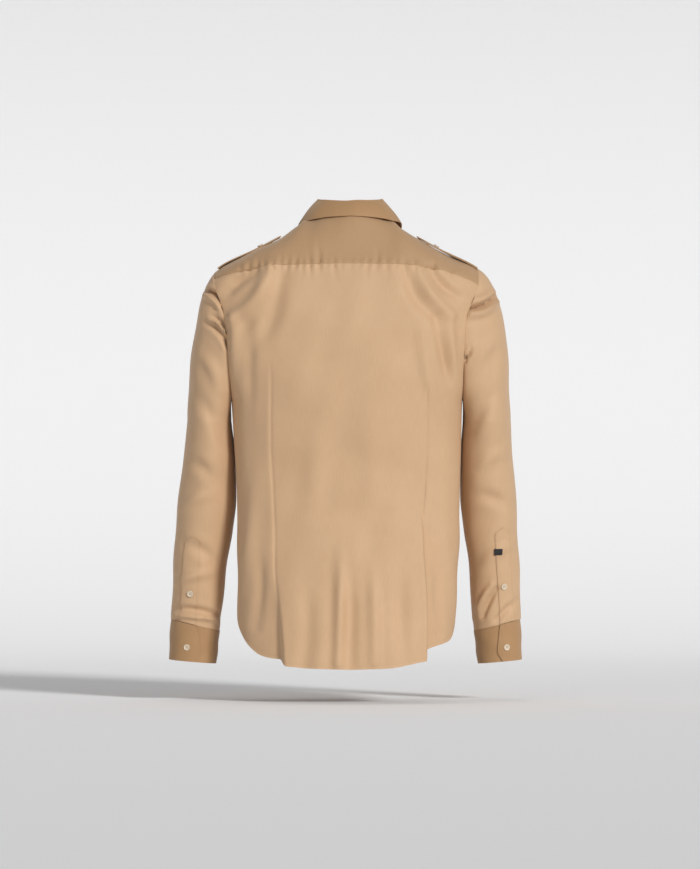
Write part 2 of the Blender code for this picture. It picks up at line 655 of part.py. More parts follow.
def make_body(look):
    """Back, yoke and fronts, with the same directions on both sides of each seam between them."""
    back, yoke = back_grid(), yoke_grid()
    fronts = {side: front_grid(side) for side in (LEFT, RIGHT)}
    match_seam(back, 0, yoke, 0)
    corner = neck_point(np.array(NECK_CORNER))
    for side in (LEFT, RIGHT):
        def on_seam(place, side=side):
            outside = side * place[:, 0] >= corner[0] - 1e-5
            behind = place[:, 1] <= corner[1] + 1e-4
            below = place[:, 2] <= corner[2] + 1e-5
            return outside & behind & below

        match_seam(yoke, -1, fronts[side], 0, on_seam)
    cloth("back_panel", trim(back[0]), back[1], look)
    cloth("back_yoke", trim(yoke[0]), yoke[1], look)
    for side in (LEFT, RIGHT):
        points, normals = fronts[side]
        cloth("front_" + SIDE_NAMES[side], trim(points), normals, look)
    make_front_placket(*fronts[LEFT], look)


def make_front_placket(points, normals, look):
    """Strip on the left front, made from its own points down the closing edge."""
    count = len(PLACKET_COLUMNS)
    strip = trim(points[:, :count])
    strip[0] = strip[0] + (strip[1] - strip[0]) * 0.16
    return cloth("front_placket", strip, normals[:, :count], look, lift=CLOTH_WALL + SEAM_GAP)


def seam_angles(side):
    """Angles round the armhole at which the body's rows and the yoke's rows meet it."""
    part = body_rows()[:ARMHOLE_ROWS + 1] / UNDERARM_T
    front = YOKE_FRONT_ANGLE + (-90.0 - YOKE_FRONT_ANGLE) * part
    back = YOKE_BACK_ANGLE[side] + (270.0 - YOKE_BACK_ANGLE[side]) * part
    top = np.linspace(YOKE_FRONT_ANGLE, YOKE_BACK_ANGLE[side], YOKE_ROWS)
    return np.concatenate([front[::-1], top[1:-1], back[:-1]])


def make_sleeve(side, look):
    angle = seam_angles(side)
    cap = np.linspace(0, 1, 8)
    lower = np.linspace(SLEEVE_TOP_Z, CUFF_TOP_Z, 12)[1:]
    lower[-1] += SEAM_GAP / 2
    rows = [sleeve_cap(side, angle, np.full(angle.shape, share)) for share in cap]
    rows += [sleeve_ring(side, angle, np.full(angle.shape, z)) for z in lower]
    points = np.array(rows)
    middle = points.mean(axis=1, keepdims=True)
    normals = grid_normals(points, middle, ring=True)
    normals[0] = armhole_normal(side, angle, normals[0])
    return cloth("sleeve_" + SIDE_NAMES[side], trim(points, ring=True), normals, look, ring=True)


def make_cuff(side, look):
    """Band that goes once round the sleeve's end and over its own start, with a cut corner."""
    row = CUFF[side]
    levels = np.linspace(CUFF_TOP_Z - SEAM_GAP / 2, CUFF_BOTTOM_Z, 4)
    start = ring_angle(side, row.under, CUFF_TOP_Z)
    parts = np.concatenate([np.linspace(0, 0.88, 20), [0.905, 0.93, 0.955, 0.98, 1.0]])
    points = np.zeros((len(levels), len(parts), 3))
    for index, z in enumerate(levels):
        down = index / (len(levels) - 1)
        edge_x = row.edge_top + (row.edge_bottom - row.edge_top) * min(1.0, down * 1.6)
        edge_x += row.chamfer * max(0.0, down - 0.75) * 4
        end = ring_angle(side, edge_x, z) + 360.0
        span = end - start
        angle = start + span * parts
        over = smooth_step(0.80, 0.90, parts) * (CUFF_WALL + 0.0006)
        ring = sleeve_ring(side, angle, np.full(angle.shape, z))
        turn = np.radians(angle)
        outward = stack(side * np.sin(turn), np.cos(turn), 0.0)
        points[index] = ring + outward * over[:, None]
    turn = np.radians(start + span * parts)
    normals = np.broadcast_to(stack(side * np.sin(turn), np.cos(turn), 0.0), points.shape).copy()
    return cloth("cuff_" + SIDE_NAMES[side], points, normals, look, wall=CUFF_WALL)


def placket_grid(side, columns, levels):
    """Points of a sleeve placket on the sleeve, with its pointed top."""
    row = PLACKET[side]
    points = np.zeros((levels, columns, 3))
    for column, part in enumerate(np.linspace(0, 1, columns)):
        top = row.shoulder + (row.top - row.shoulder) * (1 - abs(2 * part - 1))
        z = np.linspace(top, CUFF_TOP_Z + 0.0012, levels)
        x = row.inner + (row.outer - row.inner) * part
        lean = (CUFF[side].edge_top - row.inner) * smooth_step(row.shoulder, CUFF_TOP_Z, z)
        angle = ring_angle(side, x + lean, z)
        points[:, column] = sleeve_ring(side, angle, z)
    return points


def make_sleeve_placket(side, look):
    points = placket_grid(side, 5, 9)
    middle = stack(side * 0.25, 0.045, points[..., 2])
    normals = grid_normals(points, middle)
    return cloth("sleeve_placket_" + SIDE_NAMES[side], points, normals, look,
                 lift=CLOTH_WALL + SEAM_GAP)


def make_tab(look):
    """Small woven tab, sewn flat on the right placket's inner corner."""
    width, height = TAB_SIZE
    z = np.linspace(TAB_MIDDLE[1] + height / 2, TAB_MIDDLE[1] - height / 2, 3)
    x = np.linspace(TAB_MIDDLE[0] - width / 2, TAB_MIDDLE[0] + width / 2, 4)
    grid_z, grid_x = np.meshgrid(z, x, indexing="ij")
    points = sleeve_ring(RIGHT, ring_angle(RIGHT, grid_x, grid_z), grid_z)
    normals = grid_normals(points, stack(0.25, 0.045, points[..., 2]))
    return cloth("label_tab", points, normals, look, wall=TAB_WALL,
                 lift=CLOTH_WALL + 2 * SEAM_GAP + TAB_WALL)


def stand_section(angle):
    """Foot and top of the collar stand, and the outward direction, at an angle round the neck."""
    foot = neck_point(angle)
    turn = np.radians(angle)
    outward = stack(np.sin(turn), -np.cos(turn), 0.0)
    reach = np.abs(angle)
    rise = curve(COLLAR, "angle", "rise", reach)[..., None]
    lean = curve(COLLAR, "angle", "lean", reach)[..., None]
    under = (COLLAR_WALL + STAND_OVERLAP) * smooth_step(145.0, 170.0, angle)[..., None]
    foot = foot - outward * under
    top = foot - outward * lean + np.array([0.0, 0.0, 1.0]) * rise
    return foot, top, outward


def make_stand(look):
    angle = np.arange(-STAND_END_ANGLE, STAND_END_ANGLE + 1.0, NECK_STEP)
    foot, top, outward = stand_section(angle)
    lift = 0.03 + 0.05 * smooth_step(120.0, 160.0, np.abs(angle))
    points = np.array([foot + (top - foot) * (lift + (1 - lift) * level)[:, None]
                       for level in np.linspace(0, 1, 4)])
    normals = grid_normals(points, stack(0.0, 0.0, points[..., 2]))
    return cloth("collar_stand", points, normals, look, wall=COLLAR_WALL)


def leaf_point(angle, part):
    """Point of the turned-down collar: part 0 on the stand, over the roll, to 1 at its edge."""
    foot, top, outward = stand_section(angle)
    reach = np.abs(angle)
    up = np.array([0.0, 0.0, 1.0])
    turn = np.radians(angle)
    back = stack(np.cos(turn), np.sin(turn), 0.0) * -np.sign(angle)[..., None]
    out = curve(COLLAR, "angle", "out", reach)[..., None]
    down = curve(COLLAR, "angle", "down", reach)[..., None]
    sweep = curve(COLLAR, "angle", "sweep", reach)[..., None]
    first = top + up * 0.0004
    crest = top + up * ROLL_RISE + outward * ROLL_REACH
    edge = crest + outward * out - up * down + back * sweep
    rolled = np.radians(180.0 - 150.0 * np.clip(part / 0.2, 0.0, 1.0))
    roll = first + outward * (ROLL_REACH * (1 + np.cos(rolled)) * 0.8) + up * (ROLL_RISE * np.sin(rolled))
    start = first + outward * (ROLL_REACH * (1 + np.cos(np.radians(30.0))) * 0.8)
    start = start + up * (ROLL_RISE * 0.5)
    along = np.clip((part - 0.2) / 0.8, 0.0, 1.0)
    bulge = (0.0020 + 0.0025 * smooth_step(90.0, 130.0, reach)[..., None]) * 4 * along * (1 - along)
    leaf = start + (edge - start) * along + (outward * 0.6 + up * 0.8) * bulge
    return roll if part <= 0.2 else leaf


def make_leaf(look):
    inner = np.arange(-170.0, 171.0, NECK_STEP)
    angle = np.concatenate([[-LEAF_END_ANGLE], inner, [LEAF_END_ANGLE]])
    parts = (0.0, 0.07, 0.14, 0.2, 0.36, 0.52, 0.68, 0.84, 1.0)
    points = np.array([leaf_point(angle, part) for part in parts])
    inward = stack(0.0, 0.0, points[..., 2] - 0.03)
    normals = grid_normals(points, inward)
    return cloth("collar_fall", points, normals, look, wall=COLLAR_WALL)


def strap_frame(side, along, across):
    """Point and normal of the yoke under a shoulder strap."""
    delta = 0.004
    point = yoke_point(side * along, across)
    ahead = yoke_point(side * (along + delta), across) - yoke_point(side * (along - delta), across)
    over = yoke_point(side * along, across + delta) - yoke_point(side * along, across - delta)
    normal = unit(np.cross(ahead, over))
    return point, normal * np.where(normal[..., 2:] < 0, -1.0, 1.0)


def strap_share(side, x):
    """Yoke share along the shoulder's middle whose distance from the middle line is x."""
    shares = np.linspace(0.4, 0.99, 60)
    line = np.abs(yoke_point(side * shares, np.full(60, STRAP_MIDDLE))[..., 0])
    return np.interp(x, line, shares)


def make_strap(side, look):
    inner = strap_share(side, STRAP_INNER[side])
    length_parts = np.array([0.0, 0.10, 0.25, 0.42, 0.58, 0.74, 0.88, 1.0])
    across_parts = np.linspace(-1, 1, 7)
    points = np.zeros((len(length_parts), len(across_parts), 3))
    normals = np.zeros_like(points)
    for row, part in enumerate(length_parts):
        along = STRAP_OUTER + (inner - STRAP_OUTER) * part
        line = yoke_point(np.full(60, side * along), np.linspace(0, 1, 60))
        path = np.concatenate([[0], np.cumsum(np.linalg.norm(np.diff(line, axis=0), axis=1))])
        middle = np.interp(STRAP_MIDDLE, np.linspace(0, 1, 60), path)
        taper = 1.0 - STRAP_TAPER * part
        for column, place in enumerate(across_parts):
            pointed = STRAP_POINT * (1 - abs(place)) * smooth_step(0.5, 1.0, part)
            here = along + (inner - STRAP_OUTER) * pointed / STRAP_LENGTH
            v = np.interp(middle + place * STRAP_HALF_WIDTH * taper, path, np.linspace(0, 1, 60))
            points[row, column], normals[row, column] = strap_frame(side, here, v)
    lift = STRAP_LIFT[side] * np.sin(np.pi * np.clip(length_parts, 0.02, 0.98)) ** 0.6
    points = points + normals * lift[:, None, None]
    return cloth("epaulette_" + SIDE_NAMES[side], points, normals, look,
                 wall=STRAP_WALL, lift=STRAP_WALL + SEAM_GAP), points, normals


def make_button(name, place, normal, look, radius=BUTTON_RADIUS):
    """Round button with a rim and a sunk middle, its underside at the place given."""
    normal = unit(np.asarray(normal, float))
    side = unit(np.cross(normal, np.array([0.0, 0.0, 1.0]) if abs(normal[2]) < 0.9
                         else np.array([0.0, 1.0, 0.0])))
    up = np.cross(normal, side)
    profile = ((0.86, 0.0), (1.0, 0.35), (0.93, 1.0), (0.70, 0.72))
    turn = np.arange(BUTTON_SIDES) * 2 * np.pi / BUTTON_SIDES
    vertices, faces = [], []
    for share, height in profile:
        for angle in turn:
            vertices.append(place + (side * np.cos(angle) + up * np.sin(angle)) * radius * share
                            + normal * BUTTON_HEIGHT * height)
    count = BUTTON_SIDES
    for ring in range(len(profile) - 1):
        for index in range(count):
            a, b = ring * count + index, ring * count + (index + 1) % count
            faces.append((a, b, b + count, a + count))
    faces.append(tuple(reversed(range(count))))
    faces.append(tuple(range(len(vertices) - count, len(vertices))))
    return add_object(name, vertices, faces, look)


def surface_spot(points, lift):
    """Middle of a small grid, lifted along its normal, and that normal."""
    ahead = points[2, 1] - points[0, 1]
    over = points[1, 2] - points[1, 0]
    normal = unit(np.cross(ahead, over))
    return points[1, 1] + normal * lift, normal


def make_sleeve_buttons(side, look):
    name = SIDE_NAMES[side]
    row = CUFF[side]
    step = 0.002
    spots = {
        "button_cuff_" + name: (row.button_x, row.button_z, CUFF_WALL + 0.0006 + SEAM_GAP),
        "button_placket_" + name: (sum(PLACKET[side][:2]) / 2 + 0.003, PLACKET[side].button_z,
                                   CLOTH_WALL + 2 * SEAM_GAP),
    }
    for label, (x, z, lift) in spots.items():
        levels = np.array([z - step, z, z + step])
        places = np.array([x - step, x, x + step])
        grid_z, grid_x = np.meshgrid(levels, places, indexing="ij")
        points = sleeve_ring(side, ring_angle(side, grid_x, grid_z), grid_z)
        place, normal = surface_spot(points, 0.0)
        if normal[1] > 0:
            normal = -normal
        make_button(label, place + normal * lift, normal, look)


def make_front_buttons(look):
    rows = np.linspace(0, 1, 200)
    line = front_base(LEFT, np.zeros(200), rows)
    for index, z in enumerate(FRONT_BUTTONS):
        t = np.interp(-z, -line[:, 2], rows)
        place = front_base(LEFT, np.array(0.0), np.array(t))
        ahead = front_base(LEFT, np.array(0.0), np.array(t + 0.004)) - place
        normal = unit(np.array([0.0, -ahead[2], ahead[1]]))
        lift = CLOTH_WALL + 2 * SEAM_GAP
        make_button("button_front_%d" % (index + 1), place + normal * (lift + SEAM_GAP), normal, look)


def make_stand_button(look):
    foot, top, outward = stand_section(np.array([-180.0]))
    along = unit(top[0] - foot[0])
    normal = unit(np.cross(np.array([1.0, 0.0, 0.0]), along))
    if normal[1] < 0:
        normal = -normal
    place = (foot[0] + top[0]) / 2 + normal * (2 * SEAM_GAP)
    make_button("button_collar", place, normal, look, radius=BUTTON_RADIUS * 0.9)


def clear_scene():
    for made in list(bpy.data.objects):
        bpy.data.objects.remove(made, do_unlink=True)


def main():
    clear_scene()
    fabric = material("fabric", FABRIC_COLOUR, 0.75)
    pearl = material("button", BUTTON_COLOUR, 0.35)
    black = material("tab", TAB_COLOUR, 0.80)
    make_body(fabric)
    make_stand(fabric)
    make_leaf(fabric)
    for side in (LEFT, RIGHT):
        make_sleeve(side, fabric)
        make_cuff(side, fabric)
        make_sleeve_placket(side, fabric)
        _, points, normals = make_strap(side, fabric)
        place = points[5, 3] + normals[5, 3] * (CLOTH_WALL + 0.0004 + 2 * SEAM_GAP)
        make_button("button_strap_" + SIDE_NAMES[side], place, normals[5, 3], pearl,
                    radius=BUTTON_RADIUS * 0.95)
        make_sleeve_buttons(side, pearl)
    make_tab(black)
    make_front_buttons(pearl)
    make_stand_button(pearl)


main()
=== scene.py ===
"""Look of the long-sleeved shirt: thin cloth on the form of its solids, in metres, +Z up."""

from collections import namedtuple

import bpy
import numpy as np
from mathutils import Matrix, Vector
from mathutils.geometry import delaunay_2d_cdt


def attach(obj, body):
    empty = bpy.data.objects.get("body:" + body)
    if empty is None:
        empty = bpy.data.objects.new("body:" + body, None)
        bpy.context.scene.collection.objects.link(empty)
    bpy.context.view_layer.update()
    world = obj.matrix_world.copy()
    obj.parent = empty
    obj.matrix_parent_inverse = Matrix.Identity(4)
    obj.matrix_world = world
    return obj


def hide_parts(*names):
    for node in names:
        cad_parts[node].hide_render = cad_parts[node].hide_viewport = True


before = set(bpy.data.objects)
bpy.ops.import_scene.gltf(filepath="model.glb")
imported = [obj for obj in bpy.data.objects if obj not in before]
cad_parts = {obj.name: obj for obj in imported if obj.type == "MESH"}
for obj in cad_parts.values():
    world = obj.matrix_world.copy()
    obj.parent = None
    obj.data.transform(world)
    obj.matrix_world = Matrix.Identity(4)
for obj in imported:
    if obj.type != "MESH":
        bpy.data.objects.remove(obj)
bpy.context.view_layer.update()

LEFT, RIGHT = -1, 1
SIDE_NAMES = {LEFT: "left", RIGHT: "right"}

# Cloth
CLOTH_WALL = 0.0012
CUFF_WALL = 0.0018
COLLAR_WALL = 0.0015
TAB_CLOTH = 0.0006
SEAM_GAP = 0.0003

# Body: half widths at the side seams, and the middle of the back and of the front
BodyRow = namedtuple("BodyRow", "z left right back front")
BODY = [
    BodyRow(-0.078, 0.2250, 0.2200, -0.108, 0.0680),
    BodyRow(-0.085, 0.2250, 0.2200, -0.110, 0.0740),
    BodyRow(-0.140, 0.2150, 0.2100, -0.127, 0.1030),
    BodyRow(-0.200, 0.2080, 0.1960, -0.135, 0.1210),
    BodyRow(-0.260, 0.2040, 0.1930, -0.135, 0.1270),
    BodyRow(-0.316, 0.2020, 0.1915, -0.132, 0.1250),
    BodyRow(-0.380, 0.1985, 0.1900, -0.123, 0.1210),
    BodyRow(-0.450, 0.1940, 0.1880, -0.114, 0.1160),
    BodyRow(-0.520, 0.1920, 0.1865, -0.113, 0.1140),
    BodyRow(-0.600, 0.1920, 0.1830, -0.119, 0.1170),
    BodyRow(-0.690, 0.1920, 0.1805, -0.125, 0.1210),
    BodyRow(-0.780, 0.1920, 0.1800, -0.127, 0.1230),
]
SIDE_Y = -0.018
ROUNDNESS = 0.85
HEM_SIDE = {LEFT: -0.682, RIGHT: -0.686}
HEM_BACK_MIDDLE = -0.772
HEM_FRONT_MIDDLE = -0.748
UNDERARM_T = 0.38
TOP_Z = {"back": -0.085, "front": -0.078}

# Armhole: half an ellipse to the front and half to the back, with the seam's place across
ARMHOLE_MIDDLE_Z = -0.2045
ARMHOLE_HALF_HEIGHT = 0.1115
ARMHOLE_BACK = 0.062
ARMHOLE_FRONT = 0.052
UNDERARM_Z = ARMHOLE_MIDDLE_Z - ARMHOLE_HALF_HEIGHT
ArmholeRow = namedtuple("ArmholeRow", "z left right inset")
ARMHOLE = [
    ArmholeRow(-0.093, 0.2265, 0.2190, 0.000),
    ArmholeRow(-0.114, 0.2300, 0.2185, 0.002),
    ArmholeRow(-0.131, 0.2270, 0.2150, 0.006),
    ArmholeRow(-0.150, 0.2200, 0.2070, 0.010),
    ArmholeRow(-0.175, 0.2140, 0.1985, 0.014),
    ArmholeRow(-0.205, 0.2100, 0.1955, 0.016),
    ArmholeRow(-0.250, 0.2060, 0.1940, 0.014),
    ArmholeRow(-0.300, 0.2025, 0.1920, 0.004),
    ArmholeRow(-0.316, 0.2020, 0.1915, 0.000),
]
SHOULDER_TURN = 60.0

# Hem: height by the share of the way round from the middle to the side seam
HemRow = namedtuple("HemRow", "share left right front")
HEM = [
    HemRow(0.00, -0.762, -0.754, -0.748),
    HemRow(0.20, -0.760, -0.752, -0.747),
    HemRow(0.34, -0.756, -0.746, -0.744),
    HemRow(0.46, -0.7535, -0.740, -0.739),
    HemRow(0.55, -0.749, -0.7345, -0.733),
    HemRow(0.65, -0.738, -0.730, -0.726),
    HemRow(0.75, -0.7235, -0.7255, -0.7175),
    HemRow(0.82, -0.7120, -0.7190, -0.709),
    HemRow(0.90, -0.699, -0.706, -0.698),
    HemRow(1.00, -0.682, -0.686, -0.686),
]

# Back darts, which end above the hem and let their fold out below
DartRow = namedtuple("DartRow", "z left right left_fold right_fold")
DARTS = [
    DartRow(-0.085, 0.134, 0.1306, 0.000, 0.000),
    DartRow(-0.380, 0.134, 0.1306, 0.000, 0.000),
    DartRow(-0.500, 0.129, 0.1245, 0.000, 0.000),
    DartRow(-0.540, 0.1275, 0.1220, 0.000, 0.007),
    DartRow(-0.600, 0.1270, 0.1235, 0.001, 0.013),
    DartRow(-0.650, 0.1230, 0.1250, 0.005, 0.017),
    DartRow(-0.700, 0.1160, 0.1265, 0.013, 0.020),
    DartRow(-0.780, 0.1095, 0.1275, 0.020, 0.022),
]
FLANK_WIDTH = {LEFT: 0.011, RIGHT: 0.005}
HEM_STEP = {LEFT: 0.010, RIGHT: 0.018}
DART_TOP_Z = {LEFT: -0.245, RIGHT: -0.280}

# Neck: an oval that drops towards the front, by the angle from the middle of the back
NECK_HALF_WIDTH = 0.064
NECK_HALF_DEPTH = 0.065
NECK_MIDDLE_Y = 0.003
NECK_CORNER = 110.0
NeckRow = namedtuple("NeckRow", "angle z")
NECK = [
    NeckRow(0.0, 0.000),
    NeckRow(45.0, -0.001),
    NeckRow(90.0, -0.008),
    NeckRow(112.0, -0.020),
    NeckRow(135.0, -0.042),
    NeckRow(160.0, -0.069),
    NeckRow(180.0, -0.078),
]

# Yoke: its back seam's ends on the armhole, its front seam's end, and how it bends over the shoulder
YOKE_BACK_ANGLE = {LEFT: 122.0, RIGHT: 131.0}
YOKE_FRONT_ANGLE = 55.0
YOKE_DROP_POWER = 3.6
YOKE_NECK_SHARE = 0.42
YokeRow = namedtuple("YokeRow", "share lift across forward fall")
YOKE = [
    YokeRow(0.00, 0.090, 0.000, 0.060, -0.070),
    YokeRow(0.20, 0.105, -0.015, 0.080, -0.050),
    YokeRow(0.34, 0.145, -0.025, 0.115, 0.020),
    YokeRow(0.42, 0.148, -0.015, 0.115, 0.065),
    YokeRow(0.55, 0.112, -0.010, 0.105, 0.055),
    YokeRow(0.70, 0.085, 0.000, 0.090, 0.058),
    YokeRow(1.00, 0.140, 0.000, 0.080, 0.100),
]

# Sleeves: the sides of each ring nearest to and furthest from the body, and its depth
SleeveRow = namedtuple("SleeveRow", "z left_in left_out right_in right_out middle_y depth tilt")
SLEEVE = [
    SleeveRow(-0.352, 0.2025, 0.2787, 0.1925, 0.2745, 0.008, 0.070, 0.0000),
    SleeveRow(-0.420, 0.1956, 0.2870, 0.1888, 0.2795, 0.022, 0.066, 0.0000),
    SleeveRow(-0.482, 0.1945, 0.2942, 0.1885, 0.2850, 0.031, 0.060, 0.0000),
    SleeveRow(-0.540, 0.2025, 0.2990, 0.1950, 0.2877, 0.036, 0.053, 0.0000),
    SleeveRow(-0.600, 0.2117, 0.3021, 0.2031, 0.2896, 0.040, 0.048, 0.0020),
    SleeveRow(-0.660, 0.2186, 0.3052, 0.2087, 0.2913, 0.046, 0.044, 0.0065),
    SleeveRow(-0.700, 0.2236, 0.3072, 0.2125, 0.2923, 0.051, 0.041, 0.0100),
    SleeveRow(-0.730, 0.2266, 0.3088, 0.2160, 0.2934, 0.055, 0.040, 0.0065),
    SleeveRow(-0.770, 0.2298, 0.3106, 0.2196, 0.2950, 0.058, 0.040, 0.0030),
]
SLEEVE_TOP_Z = -0.352
CUFF_TOP_Z = -0.7010
CUFF_BOTTOM_Z = -0.7640
CapRow = namedtuple("CapRow", "share left right down")
CAP_PULL = [
    CapRow(-1.0, 0.10, 0.10, 0.90),
    CapRow(-0.5, 0.20, 0.22, 0.80),
    CapRow(0.0, 0.25, 0.34, 0.62),
    CapRow(0.6, 0.29, 0.46, 0.40),
    CapRow(1.0, 0.36, 0.58, 0.24),
]

# Cuff overlap, sleeve placket and its tab, by their places on the back of the sleeve
CuffRow = namedtuple("CuffRow", "edge_top edge_bottom under chamfer button_x button_z")
CUFF = {
    LEFT: CuffRow(0.2629, 0.2568, 0.2822, 0.009, 0.2784, -0.7400),
    RIGHT: CuffRow(0.2563, 0.2528, 0.2744, 0.009, 0.2671, -0.7403),
}
PlacketRow = namedtuple("PlacketRow", "inner outer top shoulder button_z")
PLACKET = {
    LEFT: PlacketRow(0.2558, 0.2824, -0.5491, -0.5574, -0.6480),
    RIGHT: PlacketRow(0.2476, 0.2722, -0.5333, -0.5440, -0.6360),
}
TAB_SIZE = (0.0128, 0.0108)
TAB_MIDDLE = (0.2520, -0.5750)

# Collar: stand height and lean, then how far the turned-down leaf goes out, down and to its points
CollarRow = namedtuple("CollarRow", "angle rise lean out down sweep")
COLLAR = [
    CollarRow(0.0, 0.0195, 0.0170, 0.0200, 0.0262, 0.000),
    CollarRow(25.0, 0.0202, 0.0160, 0.0210, 0.0283, 0.000),
    CollarRow(60.0, 0.0232, 0.0125, 0.0292, 0.0350, 0.000),
    CollarRow(90.0, 0.0295, 0.0110, 0.0325, 0.0422, 0.000),
    CollarRow(130.0, 0.0275, 0.0090, 0.0330, 0.0560, 0.008),
    CollarRow(160.0, 0.0260, 0.0090, 0.0350, 0.0690, 0.028),
    CollarRow(190.0, 0.0250, 0.0100, 0.0390, 0.0740, 0.052),
]
LEAF_END_ANGLE = 176.0
STAND_END_ANGLE = 190.0
STAND_OVERLAP = 0.0013
ROLL_RISE = 0.0042
ROLL_REACH = 0.0030

# Front closing
PLACKET_HALF_WIDTH = 0.0175
UNDERLAP_DROP = 0.0026
PLACKET_COLUMNS = 12
CUFF_LAP_GAP = 0.0006
FRONT_BUTTONS = (-0.150, -0.235, -0.320, -0.405, -0.490, -0.575, -0.660)

# Shoulder straps, along the shoulder from the armhole towards the collar
STRAP_OUTER = 0.985
STRAP_INNER = {LEFT: 0.128, RIGHT: 0.123}
STRAP_HALF_WIDTH = 0.020
STRAP_LIFT = {LEFT: 0.0018, RIGHT: 0.0028}
STRAP_MIDDLE = 0.60
STRAP_WALL = 0.0016
STRAP_LENGTH = 0.11
STRAP_POINT = 0.012
STRAP_TAPER = 0.12

BUTTON_RADIUS = 0.0055
BUTTON_HEIGHT = 0.0022
BUTTON_CORNERS = 48
BUTTON_PROFILE = ((0.80, 0.02), (0.93, 0.10), (1.0, 0.40), (0.99, 0.75), (0.95, 0.93), (0.88, 1.0),
                  (0.80, 0.98), (0.74, 0.86), (0.68, 0.70), (0.60, 0.64))
HOLE_PLACE = 0.20
HOLE_CORNERS = 8
HOLE_PROFILE = ((0.135, 0.62), (0.12, 0.10))
THREAD_RADIUS = 0.00030

# Creases: a line from one end to the other in millimetres across and up, how far its middle bows,
# its half width, its height, which is below 0 for a trough, and its strength at both ends
Crease = namedtuple("Crease", "x z end_x end_z bow width height first last")
BACK_CREASES = [
    Crease(-132, -92, -196, -176, 10, 15, 4.2, 0.5, 0.7),
    Crease(-168, -100, -206, -128, -3, 13, -4.0, 0.8, 0.7),
    Crease(-118, -104, -168, -236, 12, 17, -2.4, 0.6, 0.3),
    Crease(-196, -176, -206, -330, 3, 10, 2.0, 0.8, 0.2),
    Crease(-172, -190, -176, -360, 2, 13, -1.6, 0.6, 0.2),
    Crease(112, -92, 172, -170, -8, 12, 3.0, 0.4, 0.6),
    Crease(138, -92, 182, -140, -5, 10, -2.8, 0.7, 0.6),
    Crease(94, -100, 146, -182, -8, 13, -2.2, 0.5, 0.5),
    Crease(146, -176, 178, -300, -4, 11, -2.6, 0.7, 0.3),
    Crease(170, -180, 186, -330, -2, 10, 2.2, 0.8, 0.3),
    Crease(120, -200, 150, -345, -4, 12, 1.4, 0.5, 0.2),
    Crease(-60, -330, -66, -560, 3, 22, 0.9, 0.3, 0.3),
    Crease(34, -300, 40, -520, -3, 24, 0.9, 0.3, 0.3),
    Crease(-17, -560, -20, -762, 2, 11, 2.6, 0.1, 0.9),
    Crease(4, -600, 2, -762, -2, 13, -1.8, 0.1, 0.8),
    Crease(37, -590, 41, -756, 2, 12, 2.0, 0.1, 0.8),
    Crease(-72, -620, -76, -760, 3, 16, -1.6, 0.1, 0.8),
    Crease(88, -600, 92, -752, -3, 15, -1.5, 0.1, 0.8),
    Crease(-166, -470, -186, -640, 5, 14, 1.6, 0.2, 0.5),
    Crease(-150, -560, -160, -700, 3, 11, -1.8, 0.1, 0.6),
    Crease(158, -480, 176, -640, -5, 14, 1.4, 0.2, 0.5),
    Crease(148, -590, 152, -710, -2, 9, -1.6, 0.1, 0.6),
]
FRONT_CREASES = [
    Crease(-60, -130, -96, -330, 8, 15, 2.0, 0.3, 0.3),
    Crease(-112, -110, -166, -236, 6, 13, -2.8, 0.6, 0.4),
    Crease(-150, -120, -186, -210, 4, 10, 2.6, 0.7, 0.5),
    Crease(66, -126, 92, -340, -8, 16, 2.0, 0.3, 0.3),
    Crease(108, -108, 156, -230, -6, 13, -2.6, 0.6, 0.4),
    Crease(140, -118, 174, -206, -4, 10, 2.4, 0.7, 0.5),
    Crease(-40, -440, -52, -735, 4, 15, 1.8, 0.1, 0.7),
    Crease(-96, -480, -104, -735, -4, 16, -2.0, 0.1, 0.7),
    Crease(-150, -430, -160, -705, 5, 15, 1.8, 0.2, 0.5),
    Crease(46, -420, 56, -738, -4, 15, 1.7, 0.1, 0.7),
    Crease(102, -500, 108, -735, 4, 14, -1.9, 0.1, 0.7),
    Crease(148, -420, 154, -700, -5, 15, 1.6, 0.2, 0.5),
]
